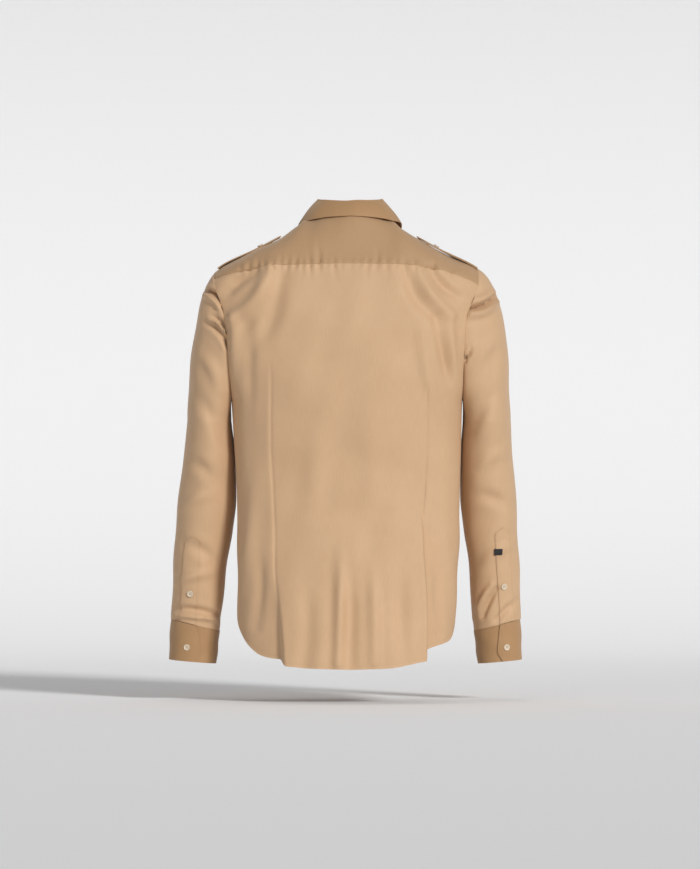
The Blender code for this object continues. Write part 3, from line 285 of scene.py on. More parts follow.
SLEEVE_CREASES = {
    LEFT: [
        Crease(-245, -130, -217, -151, 4, 4.5, -4.6, 0.8, 1.0),
        Crease(-249, -138, -221, -161, 4, 6, 2.2, 0.6, 0.9),
        Crease(-244, -172, -212, -193, 4, 5.5, -3.2, 0.3, 1.0),
        Crease(-244, -184, -208, -222, 6, 6.5, -3.4, 0.3, 1.0),
        Crease(-250, -168, -212, -205, 5, 7, 1.6, 0.4, 0.9),
        Crease(-232, -102, -222, -122, 1, 4, -1.6, 0.8, 0.4),
        Crease(-262, -230, -222, -300, 8, 12, 1.6, 0.2, 0.5),
        Crease(-270, -300, -216, -390, 8, 14, -1.6, 0.2, 0.5),
        Crease(-276, -420, -232, -452, 5, 13, -1.6, 0.4, 0.3),
        Crease(-286, -500, -236, -478, 6, 12, 1.5, 0.4, 0.3),
        Crease(-284, -560, -232, -590, 5, 12, -1.8, 0.4, 0.5),
        Crease(-294, -628, -240, -612, 4, 10, 1.7, 0.5, 0.4),
        Crease(-298, -672, -226, -684, 3, 7, -2.0, 0.5, 0.8),
        Crease(-298, -684, -228, -694, 2, 6, 1.6, 0.6, 0.8),
    ],
    RIGHT: [
        Crease(250, -139, 203, -160, 5, 4.5, -5.0, 0.9, 1.0),
        Crease(252, -150, 206, -172, 5, 7, 2.8, 0.6, 0.9),
        Crease(246, -128, 206, -146, 5, 7, 2.0, 0.6, 0.6),
        Crease(206, -232, 196, -246, 1, 4, -3.0, 0.4, 1.0),
        Crease(214, -222, 200, -240, 1, 6, 1.6, 0.3, 0.9),
        Crease(258, -205, 212, -262, -6, 13, 1.8, 0.3, 0.4),
        Crease(262, -290, 206, -372, -8, 14, -1.6, 0.3, 0.5),
        Crease(270, -400, 214, -440, -6, 14, 1.4, 0.4, 0.3),
        Crease(276, -500, 214, -476, -4, 13, -1.5, 0.4, 0.3),
        Crease(279, -560, 222, -606, -6, 12, 1.5, 0.4, 0.4),
        Crease(250, -640, 228, -684, -2, 6, -2.4, 0.6, 0.8),
        Crease(242, -632, 220, -672, -2, 6, 2.0, 0.5, 0.7),
        Crease(286, -660, 250, -694, -2, 7, -1.8, 0.5, 0.8),
    ],
}

SLEEVE_FRONT_CREASES = {
    side: [Crease(side * 244, -136, side * 208, -160, 4, 6, -3.0, 0.7, 1.0),
           Crease(side * 250, -170, side * 206, -206, 5, 8, 2.2, 0.4, 0.9),
           Crease(side * 258, -236, side * 208, -306, 8, 12, -2.2, 0.3, 0.6),
           Crease(side * 272, -400, side * 214, -430, 5, 11, -3.0, 0.5, 0.9),
           Crease(side * 276, -424, side * 214, -452, 4, 12, 2.4, 0.4, 0.8),
           Crease(side * 280, -470, side * 212, -452, -4, 10, -3.0, 0.4, 0.9),
           Crease(side * 284, -520, side * 220, -486, -6, 13, 1.8, 0.4, 0.7),
           Crease(side * 290, -610, side * 232, -590, 4, 12, -1.8, 0.4, 0.5),
           Crease(side * 292, -676, side * 236, -664, 3, 8, -2.0, 0.6, 0.6)]
    for side in (LEFT, RIGHT)
}

# Puckers along the yoke's back seam: place across, length below and above it, and depth, in millimetres
Pucker = namedtuple("Pucker", "x below above width depth")
PUCKERS = [
    Pucker(-186, 6, 8, 4.0, 0.5),
    Pucker(-172, 9, 10, 4.5, 0.9),
    Pucker(-157, 7, 12, 4.0, 0.8),
    Pucker(-145, 6, 8, 3.5, 0.6),
    Pucker(-131, 9, 9, 4.0, 0.8),
    Pucker(-118, 6, 12, 3.5, 0.6),
    Pucker(-106, 10, 9, 4.0, 0.7),
    Pucker(-92, 8, 10, 4.5, 0.8),
    Pucker(-80, 12, 7, 3.5, 0.6),
    Pucker(-68, 16, 12, 4.0, 0.9),
    Pucker(-52, 9, 22, 5.0, 1.1),
    Pucker(-39, 7, 9, 3.5, 0.6),
    Pucker(-27, 18, 8, 4.5, 0.9),
    Pucker(-14, 8, 10, 4.0, 0.7),
    Pucker(2, 12, 9, 4.5, 0.8),
    Pucker(16, 7, 11, 3.5, 0.6),
    Pucker(30, 15, 8, 4.0, 0.8),
    Pucker(46, 8, 16, 4.5, 0.9),
    Pucker(62, 11, 8, 4.0, 0.7),
    Pucker(78, 7, 9, 3.5, 0.5),
    Pucker(92, 14, 7, 4.5, 0.8),
    Pucker(110, 10, 11, 4.0, 0.8),
    Pucker(126, 8, 8, 4.5, 0.7),
    Pucker(142, 10, 9, 4.0, 0.8),
    Pucker(158, 7, 7, 3.5, 0.6),
    Pucker(174, 8, 9, 4.0, 0.7),
]

# How many times as deep as in their tables the puckers and creases are made
PUCKER_GAIN = 4.0
CREASE_GAIN = 2.5

# Grooves that seams and stitching press into the cloth: depth and half width
SEAM_GROOVE = (0.0010, 0.0022)
FRONT_SEAM_GROOVE = (0.0006, 0.0022)
ARMHOLE_GROOVE = (0.0008, 0.0016)
HEM_GROOVE = (0.0005, 0.0012)
DART_GROOVE = (0.0011, 0.0020)
DART_RIDGE = 0.0007
DART_RIDGE_PLACE = 0.006
SEAM_RIDGE = 0.0005

# Small unevenness of the whole cloth: waves each way, in metres, with their turns and sizes
Wave = namedtuple("Wave", "across up deep shift size")
WAVES = [
    Wave(0.115, 0.420, 0.30, 0.4, 0.00075),
    Wave(0.074, -0.360, 0.24, 1.9, 0.00050),
    Wave(0.190, 0.130, -0.40, 3.1, 0.00060),
    Wave(-0.052, 0.210, 0.19, 5.0, 0.00028),
    Wave(0.310, -0.088, 0.22, 2.2, 0.00035),
]

# Stitches
STITCH_PITCH = 0.0030
STITCH_LENGTH = 0.0021
STITCH_RADIUS = 0.00022
EDGE_STITCH = 0.0016
WIDE_STITCH = 0.0060
COLLAR_STITCH = 0.0050
PLACKET_STITCH = 0.0040

# Camera, backdrop and light
CAMERA_DISTANCE = 12.0
PIXEL = 0.0017
IMAGE_SIZE = (700, 869)
IMAGE_CENTRE_Z = -0.3748
FLOOR_Z = -0.83
BACKDROP_Y = 2.0
BACKDROP_TURN = 2.5
BACKDROP_TONE = 0.53
FLOOR_TONE = 0.95


def curve(table, key, column, at):
    """Smooth value of a table's column at places of its key column, with no overshoot."""
    knots = np.array([getattr(row, key) for row in table], float)
    values = np.array([getattr(row, column) for row in table], float)
    if knots[0] > knots[-1]:
        knots, values = knots[::-1], values[::-1]
    steps = np.diff(knots)
    slopes = np.diff(values) / steps
    tangents = np.zeros_like(values)
    tangents[0], tangents[-1] = slopes[0], slopes[-1]
    product = slopes[:-1] * slopes[1:]
    total = np.where(product > 0, slopes[:-1] + slopes[1:], 1.0)
    tangents[1:-1] = np.where(product > 0, 2 * product / total, 0.0)
    at = np.clip(np.asarray(at, float), knots[0], knots[-1])
    index = np.clip(np.searchsorted(knots, at, side="right") - 1, 0, len(steps) - 1)
    step = steps[index]
    part = (at - knots[index]) / step
    return (values[index] * (1 + 2 * part) * (1 - part) ** 2
            + tangents[index] * step * part * (1 - part) ** 2
            + values[index + 1] * part ** 2 * (3 - 2 * part)
            + tangents[index + 1] * step * part ** 2 * (part - 1))


def hermite(start, leave, end, arrive, part):
    """Point on a smooth curve between two points, with its directions at both."""
    return (start * (1 + 2 * part) * (1 - part) ** 2 + leave * part * (1 - part) ** 2
            + end * part ** 2 * (3 - 2 * part) + arrive * part ** 2 * (part - 1))


def smooth_step(low, high, value):
    part = np.clip((np.asarray(value, float) - low) / (high - low), 0.0, 1.0)
    return part * part * (3 - 2 * part)


def path_lengths(points):
    """Length along a line of points up to each of them."""
    return np.concatenate([[0], np.cumsum(np.linalg.norm(np.diff(points, axis=0), axis=1))])


def stack(x, y, z):
    return np.stack(np.broadcast_arrays(x, y, z), axis=-1).astype(float)


def unit(vectors):
    return vectors / np.maximum(np.linalg.norm(vectors, axis=-1, keepdims=True), 1e-12)


def armhole(side, angle):
    """Point on the armhole seam; 0 degrees is the front, 90 the shoulder point, 180 the back."""
    turn = np.radians(angle)
    z = ARMHOLE_MIDDLE_Z + ARMHOLE_HALF_HEIGHT * np.sin(turn)
    reach = np.where(np.cos(turn) > 0, ARMHOLE_FRONT, ARMHOLE_BACK)
    y = SIDE_Y + reach * np.cos(turn)
    x = curve(ARMHOLE, "z", SIDE_NAMES[side], z)
    x = x - curve(ARMHOLE, "z", "inset", z) * np.maximum(np.cos(turn), 0.0)
    return stack(side * x, y, z)


def armhole_normal(side, angle, own):
    """Outward direction at the armhole seam: shared above, and each piece's own at the underarm."""
    turn = np.radians(angle)
    low = smooth_step(-0.2, -0.9, np.sin(turn))[..., None]
    shared = unit(stack(side * 0.55, np.cos(turn), np.sin(turn)))
    return unit(shared * (1 - low) + own * low)


def body_edge(side, t, face):
    """Outer edge of a body panel: the armhole down to the underarm, then the side seam."""
    start = YOKE_BACK_ANGLE[side] if face == "back" else YOKE_FRONT_ANGLE
    end = 270.0 if face == "back" else -90.0
    seam = armhole(side, start + (end - start) * np.clip(t / UNDERARM_T, 0.0, 1.0))
    low = np.clip((t - UNDERARM_T) / (1 - UNDERARM_T), 0.0, 1.0)
    z = UNDERARM_Z + (HEM_SIDE[side] - UNDERARM_Z) * low
    sides = stack(side * curve(BODY, "z", SIDE_NAMES[side], z), SIDE_Y, z)
    return np.where((t < UNDERARM_T)[..., None], seam, sides)


def body_turn(t):
    """How far a row has turned towards the side where it ends, in radians."""
    return np.radians(SHOULDER_TURN + (90.0 - SHOULDER_TURN) * smooth_step(0.0, UNDERARM_T, t))


def share_to_fraction(share, turn):
    return np.sign(share) * (np.sin(turn * np.abs(share)) / np.sin(turn)) ** ROUNDNESS


def fraction_to_share(fraction, turn):
    inner = np.clip(np.abs(fraction), 0.0, 1.0) ** (1 / ROUNDNESS) * np.sin(turn)
    return np.sign(fraction) * np.arcsin(np.clip(inner, 0.0, 1.0)) / turn


def neck_point(angle):
    turn = np.radians(angle)
    z = curve(NECK, "angle", "z", 180.0 - np.abs(180.0 - np.abs(angle)))
    y = NECK_MIDDLE_Y - NECK_HALF_DEPTH * np.cos(turn)
    return stack(NECK_HALF_WIDTH * np.sin(turn), y, z)


def hem_height(side, share, face):
    column = SIDE_NAMES[side] if face == "back" else "front"
    return curve(HEM, "share", column, np.abs(share))


def panel_row(side, share, t, face):
    """Point of a body panel before its top edge is shaped."""
    turn = body_turn(t)
    bend = np.cos(turn * np.abs(share)) ** ROUNDNESS
    full_bend = np.maximum(np.cos(turn), 0.0) ** ROUNDNESS
    edge = body_edge(side, t, face)
    top = TOP_Z[face]
    middle_z = np.where(t < UNDERARM_T, top + (UNDERARM_Z - top) * t / UNDERARM_T, UNDERARM_Z)
    fraction = share_to_fraction(share, turn)
    drop = np.abs(fraction) ** (YOKE_DROP_POWER if face == "back" else 2.0)
    upper_z = middle_z + (edge[..., 2] - middle_z) * drop
    hem = hem_height(side, share, face)
    low = np.clip((t - UNDERARM_T) / (1 - UNDERARM_T), 0.0, 1.0)
    z = np.where(t < UNDERARM_T, upper_z, UNDERARM_Z + (hem - UNDERARM_Z) * low)
    middle_low = HEM_BACK_MIDDLE if face == "back" else HEM_FRONT_MIDDLE
    centre_z = np.where(t < UNDERARM_T, middle_z, UNDERARM_Z + (middle_low - UNDERARM_Z) * low)
    centre_y = curve(BODY, "z", face, centre_z)
    y = centre_y + (edge[..., 1] - centre_y) * (1 - bend) / (1 - full_bend)
    x = edge[..., 0] * np.abs(fraction) * np.where(share < 0, -1.0, 1.0)
    return stack(x, y, z)


def row_height(t):
    low = np.clip((t - UNDERARM_T) / (1 - UNDERARM_T), 0.0, 1.0)
    upper = TOP_Z["back"] + (UNDERARM_Z - TOP_Z["back"]) * np.clip(t / UNDERARM_T, 0.0, 1.0)
    return np.where(t < UNDERARM_T, upper, UNDERARM_Z + (HEM_BACK_MIDDLE - UNDERARM_Z) * low)


def dart_share(side, t):
    """Where the dart's line lies, as a share of the way round, at each row."""
    edge = body_edge(side, t, "back")
    x = curve(DARTS, "z", SIDE_NAMES[side], row_height(t))
    return fraction_to_share(x / np.abs(edge[..., 0]), body_turn(t))


def back_point(side, share, t, raised):
    """Point of the back; raised is 1 on the centre panel between the folds and 0 beside them."""
    points = panel_row(side, share, t, "back")
    z = points[..., 2]
    fold = raised * curve(DARTS, "z", SIDE_NAMES[side] + "_fold", z)
    other = raised * curve(DARTS, "z", SIDE_NAMES[-side] + "_fold", z)
    dart = np.maximum(dart_share(side, t), 1e-6)
    near = np.clip(0.5 + 0.5 * np.abs(share) / dart, 0.0, 1.0)
    points[..., 1] -= fold * near + other * (1 - near)
    points[..., 2] -= HEM_STEP[side] * raised * smooth_step(-0.55, -0.75, z)
    return points


def top_edge(side, fraction):
    """Top edge of a front: round the neck, then along the yoke's front seam to the armhole."""
    end = armhole(side, np.array(YOKE_FRONT_ANGLE))
    x = fraction * abs(end[0])
    corner = neck_point(np.array(NECK_CORNER))
    inside = np.clip(np.abs(x) / NECK_HALF_WIDTH, 0.0, np.sin(np.radians(NECK_CORNER)))
    around = neck_point(180.0 - np.degrees(np.arcsin(inside)))
    along = np.clip((np.abs(x) - corner[0]) / (abs(end[0]) - corner[0]), 0.0, 1.0)
    seam_y = corner[1] + (end[1] - corner[1]) * along
    seam_z = corner[2] + (end[2] - corner[2]) * along
    on_neck = np.abs(x) < corner[0]
    y = np.where(on_neck, around[..., 1], seam_y)
    z = np.where(on_neck, around[..., 2], seam_z)
    return stack(side * x, y, z)


def front_share(side, x, t):
    """Share of the way round at a distance x from the middle line."""
    edge = np.abs(body_edge(side, t, "front")[..., 0])
    return fraction_to_share(x / edge, body_turn(t))


def front_point(side, share, t):
    """Point of a front; share is 0 at the middle, 1 at the side, and below 0 past the middle."""
    points = panel_row(side, share, t, "front")
    first = panel_row(side, share, np.zeros_like(t), "front")
    fraction = share_to_fraction(share, body_turn(np.zeros_like(t)))
    change = top_edge(side, fraction) - first
    change[..., 0] = 0.0
    fade = np.clip(1 - t / (1.15 * UNDERARM_T), 0.0, 1.0) ** 1.6
    return points + change * fade[..., None]


def yoke_half(side, share, v):
    start = panel_row(side, share, np.zeros_like(share), "back")
    on_neck = neck_point(NECK_CORNER * np.clip(share / YOKE_NECK_SHARE, 0.0, 1.0))
    on_neck[..., 0] *= side
    along = np.clip((share - YOKE_NECK_SHARE) / (1 - YOKE_NECK_SHARE), 0.0, 1.0)
    corner = neck_point(np.array(NECK_CORNER))
    edge_x = abs(armhole(side, np.array(YOKE_FRONT_ANGLE))[0])
    seam = top_edge(side, (corner[0] + (edge_x - corner[0]) * along) / edge_x)
    end = np.where((share < YOKE_NECK_SHARE)[..., None], on_neck, seam)
    leave = stack(0.0, 0.05, curve(YOKE, "share", "lift", share))
    arrive = stack(side * curve(YOKE, "share", "across", share),
                   curve(YOKE, "share", "forward", share), -curve(YOKE, "share", "fall", share))
    part = v[..., None]
    points = hermite(start, leave, end, arrive, part)
    if np.all(share >= 1.0):
        return points
    target = armhole(side, YOKE_BACK_ANGLE[side] + (YOKE_FRONT_ANGLE - YOKE_BACK_ANGLE[side]) * v)
    last = yoke_half(side, np.ones_like(share), v)
    weight = (np.clip((share - 0.6) / 0.4, 0.0, 1.0) ** 2)[..., None]
    return points + weight * (target - last)


def yoke_point(share, v):
    """Point of the yoke; share runs from the left armhole to the right one, v from back to front."""
    share, v = np.broadcast_arrays(np.asarray(share, float), np.asarray(v, float))
    points = np.zeros(share.shape + (3,))
    for side in (LEFT, RIGHT):
        chosen = (share < 0) if side == LEFT else (share >= 0)
        if np.any(chosen):
            points[chosen] = yoke_half(side, np.abs(share[chosen]), v[chosen])
    return points


def sleeve_ring(side, angle, z):
    """Point of a sleeve or cuff ring; 90 degrees faces away from the body, 180 to the back."""
    name = SIDE_NAMES[side]
    turn = np.radians(angle)
    inner = curve(SLEEVE, "z", name + "_in", z)
    outer = curve(SLEEVE, "z", name + "_out", z)
    x = (inner + outer) / 2 + (outer - inner) / 2 * np.sin(turn)
    y = curve(SLEEVE, "z", "middle_y", z) + curve(SLEEVE, "z", "depth", z) * np.cos(turn)
    return stack(side * x, y, z + curve(SLEEVE, "z", "tilt", z) * np.sin(turn))


def sleeve_cap(side, angle, share):
    """Point between the armhole seam, share 0, and the first full ring of the sleeve, share 1."""
    start = armhole(side, angle)
    end = sleeve_ring(side, angle, np.full(np.shape(angle), SLEEVE_TOP_Z))
    length = np.linalg.norm(end - start, axis=-1)
    level = np.sin(np.radians(angle))
    leave = stack(side * length * curve(CAP_PULL, "share", SIDE_NAMES[side], level), 0.0,
                  -length * curve(CAP_PULL, "share", "down", level))
    arrive = stack(0.0, 0.0, -length * 0.9)
    return hermite(start, leave, end, arrive, share[..., None])


def ring_angle(side, x, z):
    """Angle on the back of a sleeve ring where its distance from the middle of the body is x."""
    name = SIDE_NAMES[side]
    inner = curve(SLEEVE, "z", name + "_in", z)
    outer = curve(SLEEVE, "z", name + "_out", z)
    return 180.0 - np.degrees(np.arcsin(np.clip((x - (inner + outer) / 2) / (outer - inner) * 2, -1, 1)))


def grid_normals(points, centre, ring=False):
    """Outward normals of a grid of points, away from the centre."""
    if ring:
        around = np.roll(points, -1, axis=1) - np.roll(points, 1, axis=1)
    else:
        around = np.gradient(points, axis=1)
    along = np.gradient(points, axis=0)
    normals = unit(np.cross(along, around))
    if np.sum(normals * (points - centre)) < 0:
        normals = -normals
    return normals


def crease_profile(reach):
    """Height across a crease, 1 on its line and slightly below 0 on both sides."""
    return (1 - 0.9 * reach ** 2) * np.exp(-0.75 * reach ** 2)


def crease_height(points, creases):
    """Height of a table of creases at each point, with a softer rise on both sides of a trough."""
    height = np.zeros(points.shape[:-1])
    place = points[..., [0, 2]] * 1000.0
    for row in creases:
        start = np.array([row.x, row.z], float)
        along = np.array([row.end_x, row.end_z], float) - start
        length = np.linalg.norm(along)
        direction = along / length
        across = np.array([-direction[1], direction[0]])
        part = (place - start) @ direction / length
        inside = np.clip(part, 0.0, 1.0)
        offset = (place - start) @ across - row.bow * 4 * inside * (1 - inside)
        profile = crease_profile(offset / row.width)
        strength = row.first + (1 - row.first) * smooth_step(0.0, 0.45, part)
        strength = strength * (row.last + (1 - row.last) * smooth_step(1.0, 0.55, part))
        soft = 1.6 * row.width / length
        fade = smooth_step(-soft, 0.0, part) * smooth_step(1 + soft, 1.0, part)
        height += row.height / 1000.0 * profile * strength * fade
    return height


def wave_height(points):
    """Height of the cloth's small unevenness."""
    height = np.zeros(points.shape[:-1])
    for wave in WAVES:
        turn = points[..., 0] / wave.across + points[..., 2] / wave.up + points[..., 1] / wave.deep
        bend = 0.6 * np.sin(3.1 * points[..., 2] / abs(wave.across) * 0.4 + wave.shift)
        height += wave.size * np.sin(2 * np.pi * turn + wave.shift + bend)
    return height


def relief(points, normals, back, front, calm=1.0):
    """Moves points along their normals by the creases that face each way and the unevenness."""
    to_back = smooth_step(-0.05, 0.40, -normals[..., 1])
    to_front = smooth_step(-0.05, 0.40, normals[..., 1])
    height = crease_height(points, back) * to_back + crease_height(points, front) * to_front
    height = (CREASE_GAIN * height + wave_height(points)) * calm
    return points + normals * height[..., None]


def add_object(name, vertices, faces, look, coordinates=None):
    mesh = bpy.data.meshes.new(name)
    mesh.from_pydata(vertices.tolist(), [], faces)
    mesh.materials.append(look)
    mesh.shade_smooth()
    mesh.set_sharp_from_angle(angle=np.radians(60.0))
    if coordinates is not None:
        layer = mesh.uv_layers.new(name="cloth")
        loops = np.zeros(len(mesh.loops), int)
        mesh.loops.foreach_get("vertex_index", loops)
        layer.data.foreach_set("uv", coordinates[loops].ravel())
    made = bpy.data.objects.new(name, mesh)
    bpy.context.scene.collection.objects.link(made)
    return made


def cloth_lengths(points):
    """Lengths along a grid's rows from its middle column and down its columns, as cloth coordinates."""
    rows, columns = points.shape[:2]
    across = np.linalg.norm(np.diff(points, axis=1), axis=-1)
    down = np.linalg.norm(np.diff(points, axis=0), axis=-1)
    u = np.concatenate([np.zeros((rows, 1)), np.cumsum(across, axis=1)], axis=1)
    v = np.concatenate([np.zeros((1, columns)), np.cumsum(down, axis=0)], axis=0)
    u = u - u[:, columns // 2][:, None]
    return np.stack([u, v], axis=-1)


def cloth(name, points, normals, look, wall=CLOTH_WALL, lift=0.0, ring=False):
    """Closed thin wall of cloth: its outer side is lift above the points, its inner side a wall below."""
    rows, columns = points.shape[:2]
    outer = points + normals * lift
    inner = points + normals * (lift - wall)
    vertices = np.concatenate([outer.reshape(-1, 3), inner.reshape(-1, 3)])
    lengths = cloth_lengths(points).reshape(-1, 2)
    half = rows * columns
    faces = []
    spans = columns if ring else columns - 1
    for row in range(rows - 1):
        for column in range(spans):
            a = row * columns + column
            b = row * columns + (column + 1) % columns
            c, d = b + columns, a + columns
            faces.append((a, b, c, d))
            faces.append((half + d, half + c, half + b, half + a))
    for column in range(spans):
        a, b = column, (column + 1) % columns
        faces.append((b, a, half + a, half + b))
        a, b = a + (rows - 1) * columns, b + (rows - 1) * columns
        faces.append((a, b, half + b, half + a))
    if not ring:
        for row in range(rows - 1):
            a, b = row * columns, (row + 1) * columns
            faces.append((a, b, half + b, half + a))
            a, b = a + columns - 1, b + columns - 1
            faces.append((b, a, half + a, half + b))
    middle = np.cross(points[1, 0] - points[0, 0], points[0, 1] - points[0, 0])
    if np.dot(middle, normals[0, 0]) > 0:
        faces = [face[::-1] for face in faces]
    return add_object(name, vertices, faces, look, np.concatenate([lengths, lengths]))


def place(piece, node, slot):
    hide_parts(node)
    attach(piece, "root")
    return piece


def stitch_row(points, normals, lift):
    """Vertices and faces of a row of stitches that lie on the line of points."""
    lengths = path_lengths(points)
    starts = np.arange(0.0005, lengths[-1] - STITCH_LENGTH, STITCH_PITCH)
    if len(starts) == 0:
        return np.zeros((0, 3)), []
    parts = np.array([0.0, 0.25, 0.75, 1.0])
    at = starts[:, None] + STITCH_LENGTH * parts[None, :]
    line = np.stack([np.interp(at, lengths, points[:, axis]) for axis in range(3)], axis=-1)
    up = unit(np.stack([np.interp(at, lengths, normals[:, axis]) for axis in range(3)], axis=-1))
    rise = np.array([-1.2, 0.5, 0.5, -1.2]) * STITCH_RADIUS + lift
    line = line + up * rise[None, :, None]
    along = unit(line[:, 2] - line[:, 1])[:, None, :]
    side = unit(np.cross(up, np.broadcast_to(along, up.shape)))
    ring = []
    for turn in np.radians([0.0, 60.0, 120.0, 180.0]):
        ring.append(line + side * np.cos(turn) * STITCH_RADIUS + up * np.sin(turn) * STITCH_RADIUS)
    vertices = np.stack(ring, axis=2).reshape(-1, 3)
    faces = []
    for index in range(len(starts)):
        base = index * 16
        for step in range(3):
            for corner in range(3):
                a = base + step * 4 + corner
                faces.append((a, a + 1, a + 5, a + 4))
    return vertices, faces


def stitches(name, rows, look):
    """One object of stitch rows, each a line of points, its normals and its lift."""
    vertices, faces = [], []
    count = 0
    for points, normals, lift in rows:
        row_vertices, row_faces = stitch_row(points, normals, lift)
        vertices.append(row_vertices)
        faces += [tuple(index + count for index in face) for face in row_faces]
        count += len(row_vertices)
    made = add_object(name, np.concatenate(vertices), faces, look)
    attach(made, "root")
    return made


def offset_row(points, row, distance):
    """A grid's row moved into the grid by a distance along its columns."""
    step = -1 if row == -1 else 1
    inner = row + step
    line = points[row].astype(float).copy()
    left = np.full(len(line), distance)
    place_now = line
    result = line.copy()
    done = np.zeros(len(line), bool)
    limit = len(points)
    for count in range(1, limit):
        index = row + step * count
        if abs(index) >= limit:
            break
        following = points[index]
        length = np.linalg.norm(following - place_now, axis=-1)
        now = (~done) & (length >= left)
        share = np.where(length > 0, left / np.maximum(length, 1e-12), 0.0)[:, None]
        result[now] = (place_now + (following - place_now) * share)[now]
        done |= now
        left = left - length
        place_now = following
        if np.all(done):
            break
    return result


def row_line(points, normals, row, distance, lift=0.0):
    return offset_row(points, row, distance), normals[row], lift


def column_line(points, normals, column, distance, lift=0.0):
    turned = points.transpose(1, 0, 2)
    return offset_row(turned, column, distance), normals[:, column], lift


def seam_groove(distance, groove):
    depth, width = groove
    return -depth * np.exp(-(distance / width) ** 2)


def pressed(points, normals, edge, groove, away=0.0):
    """Points with a groove pressed in at a distance away from an edge."""
    distance = np.linalg.norm(points - edge, axis=-1) - away
    return points + normals * seam_groove(distance, groove)[..., None]


def yoke_seam_z(x):
    """Height of the yoke's back seam at a place across."""
    side = np.where(x < 0, LEFT, RIGHT)
    height = np.zeros_like(x)
    for each in (LEFT, RIGHT):
        share = np.linspace(0, 1, 120)
        line = panel_row(each, share, np.zeros(120), "back")
        chosen = side == each
        height[chosen] = np.interp(np.abs(x[chosen]), np.abs(line[:, 0]), line[:, 2])
    return height


def seam_puckers(points):
    """Height of the gathers along the yoke's back seam and of the ridge above it."""
    x, z = points[..., 0], points[..., 2]
    distance = (z - yoke_seam_z(x)) * 1000.0
    height = np.zeros_like(x)
    for row in PUCKERS:
        wander = row.x + 0.12 * distance * np.sin(row.x * 1.7)
        reach = (x * 1000.0 - wander) / row.width
        length = np.where(distance < 0, row.below, row.above)
        fade = np.exp(-(np.abs(distance) / length) ** 1.5) * smooth_step(0.0, 2.0, np.abs(distance))
        height -= PUCKER_GAIN * row.depth / 1000.0 * crease_profile(reach) * fade
    height += SEAM_RIDGE * smooth_step(0.0, 1.5, distance) * smooth_step(9.0, 3.0, distance)
    return height


def eased(points, rows, edges):
    """Smooths a panel along its rows where the armhole turns into the side, its edges kept."""
    middle = np.argmin(np.abs(rows - UNDERARM_T))
    index = np.arange(len(rows))
    columns = points.shape[1]
    inward = np.full(columns, float(columns))
    for edge in edges:
        inward = np.minimum(inward, np.abs(np.arange(columns) - edge % columns))
    weight = np.exp(-((index - middle) / 16.0) ** 2)[:, None] * smooth_step(0.0, 5.0, inward)[None, :]
    eased_points = points.copy()
    for _ in range(60):
        mean = eased_points.copy()
        mean[1:-1] = (eased_points[:-2] + 2 * eased_points[1:-1] + eased_points[2:]) / 4
        eased_points += (mean - eased_points) * weight[..., None]
    return eased_points


def back_rows():
    first = 0.10 * np.linspace(0, 1, 34) ** 1.3
    upper = np.linspace(0.10, UNDERARM_T, 66)[1:]
    lower = np.linspace(UNDERARM_T, 1.0, 142)[1:]
    return np.concatenate([first, upper, lower])


def back_side(side, rows):
    dart = dart_share(side, rows)
    edge_x = np.abs(body_edge(side, rows, "back")[..., 0])
    flank = FLANK_WIDTH[side] / edge_x
    shares, raised = [], []
    for part in np.linspace(0, 1, 40)[:-1]:
        shares.append(part * (dart - flank / 2))
        raised.append(1.0)
    for part in np.linspace(0, 1, 9):
        shares.append(dart + (part - 0.5) * flank)
        raised.append(1.0 - smooth_step(0.0, 1.0, part))
    for part in np.linspace(0, 1, 30)[1:]:
        first = dart + flank / 2
        shares.append(first + part * (1 - first))
        raised.append(0.0)
    share = np.stack(shares, axis=1)
    lifted = np.broadcast_to(np.array(raised), share.shape)
    t = np.broadcast_to(rows[:, None], share.shape)
    points = back_point(side, share, t, lifted)
    fold = curve(DARTS, "z", SIDE_NAMES[side] + "_fold", points[..., 2])
    edge = np.exp(-((share - dart[:, None]) / (0.9 * flank[:, None]) + 0.45) ** 2)
    points[..., 0] += side * 0.28 * fold * edge
    distance = (share - dart[:, None]) * edge_x[:, None]
    seam = smooth_step(DART_TOP_Z[side], DART_TOP_Z[side] - 0.05, points[..., 2])
    seam = seam * smooth_step(0.012, 0.004, fold)
    points[..., 1] -= seam_groove(distance, DART_GROOVE) * seam
    points[..., 1] -= DART_RIDGE * np.exp(-((distance - DART_RIDGE_PLACE) / 0.004) ** 2) * seam
    return points


def panel_normals(points, rows, face, edges):
    normals = grid_normals(points, stack(0.0, SIDE_Y, points[..., 2]))
    for side, column in edges:
        start = YOKE_BACK_ANGLE[side] if face == "back" else YOKE_FRONT_ANGLE
        end = 270.0 if face == "back" else -90.0
        upper = rows < UNDERARM_T - 1e-9
        angle = start + (end - start) * rows[upper] / UNDERARM_T
        normals[upper, column] = armhole_normal(side, angle, normals[upper, column])
        normals[~upper, column] = np.array([side * 1.0, 0.0, 0.0])
    return normals


def side_calm(points):
    """Fades the creases out where the body's side and the sleeve's inner side lie close."""
    near = smooth_step(0.165, 0.188, np.abs(points[..., 0])) * smooth_step(-0.55, -0.46, points[..., 2])
    near = near * smooth_step(-0.20, -0.31, points[..., 2])
    return 1.0 - 0.9 * near


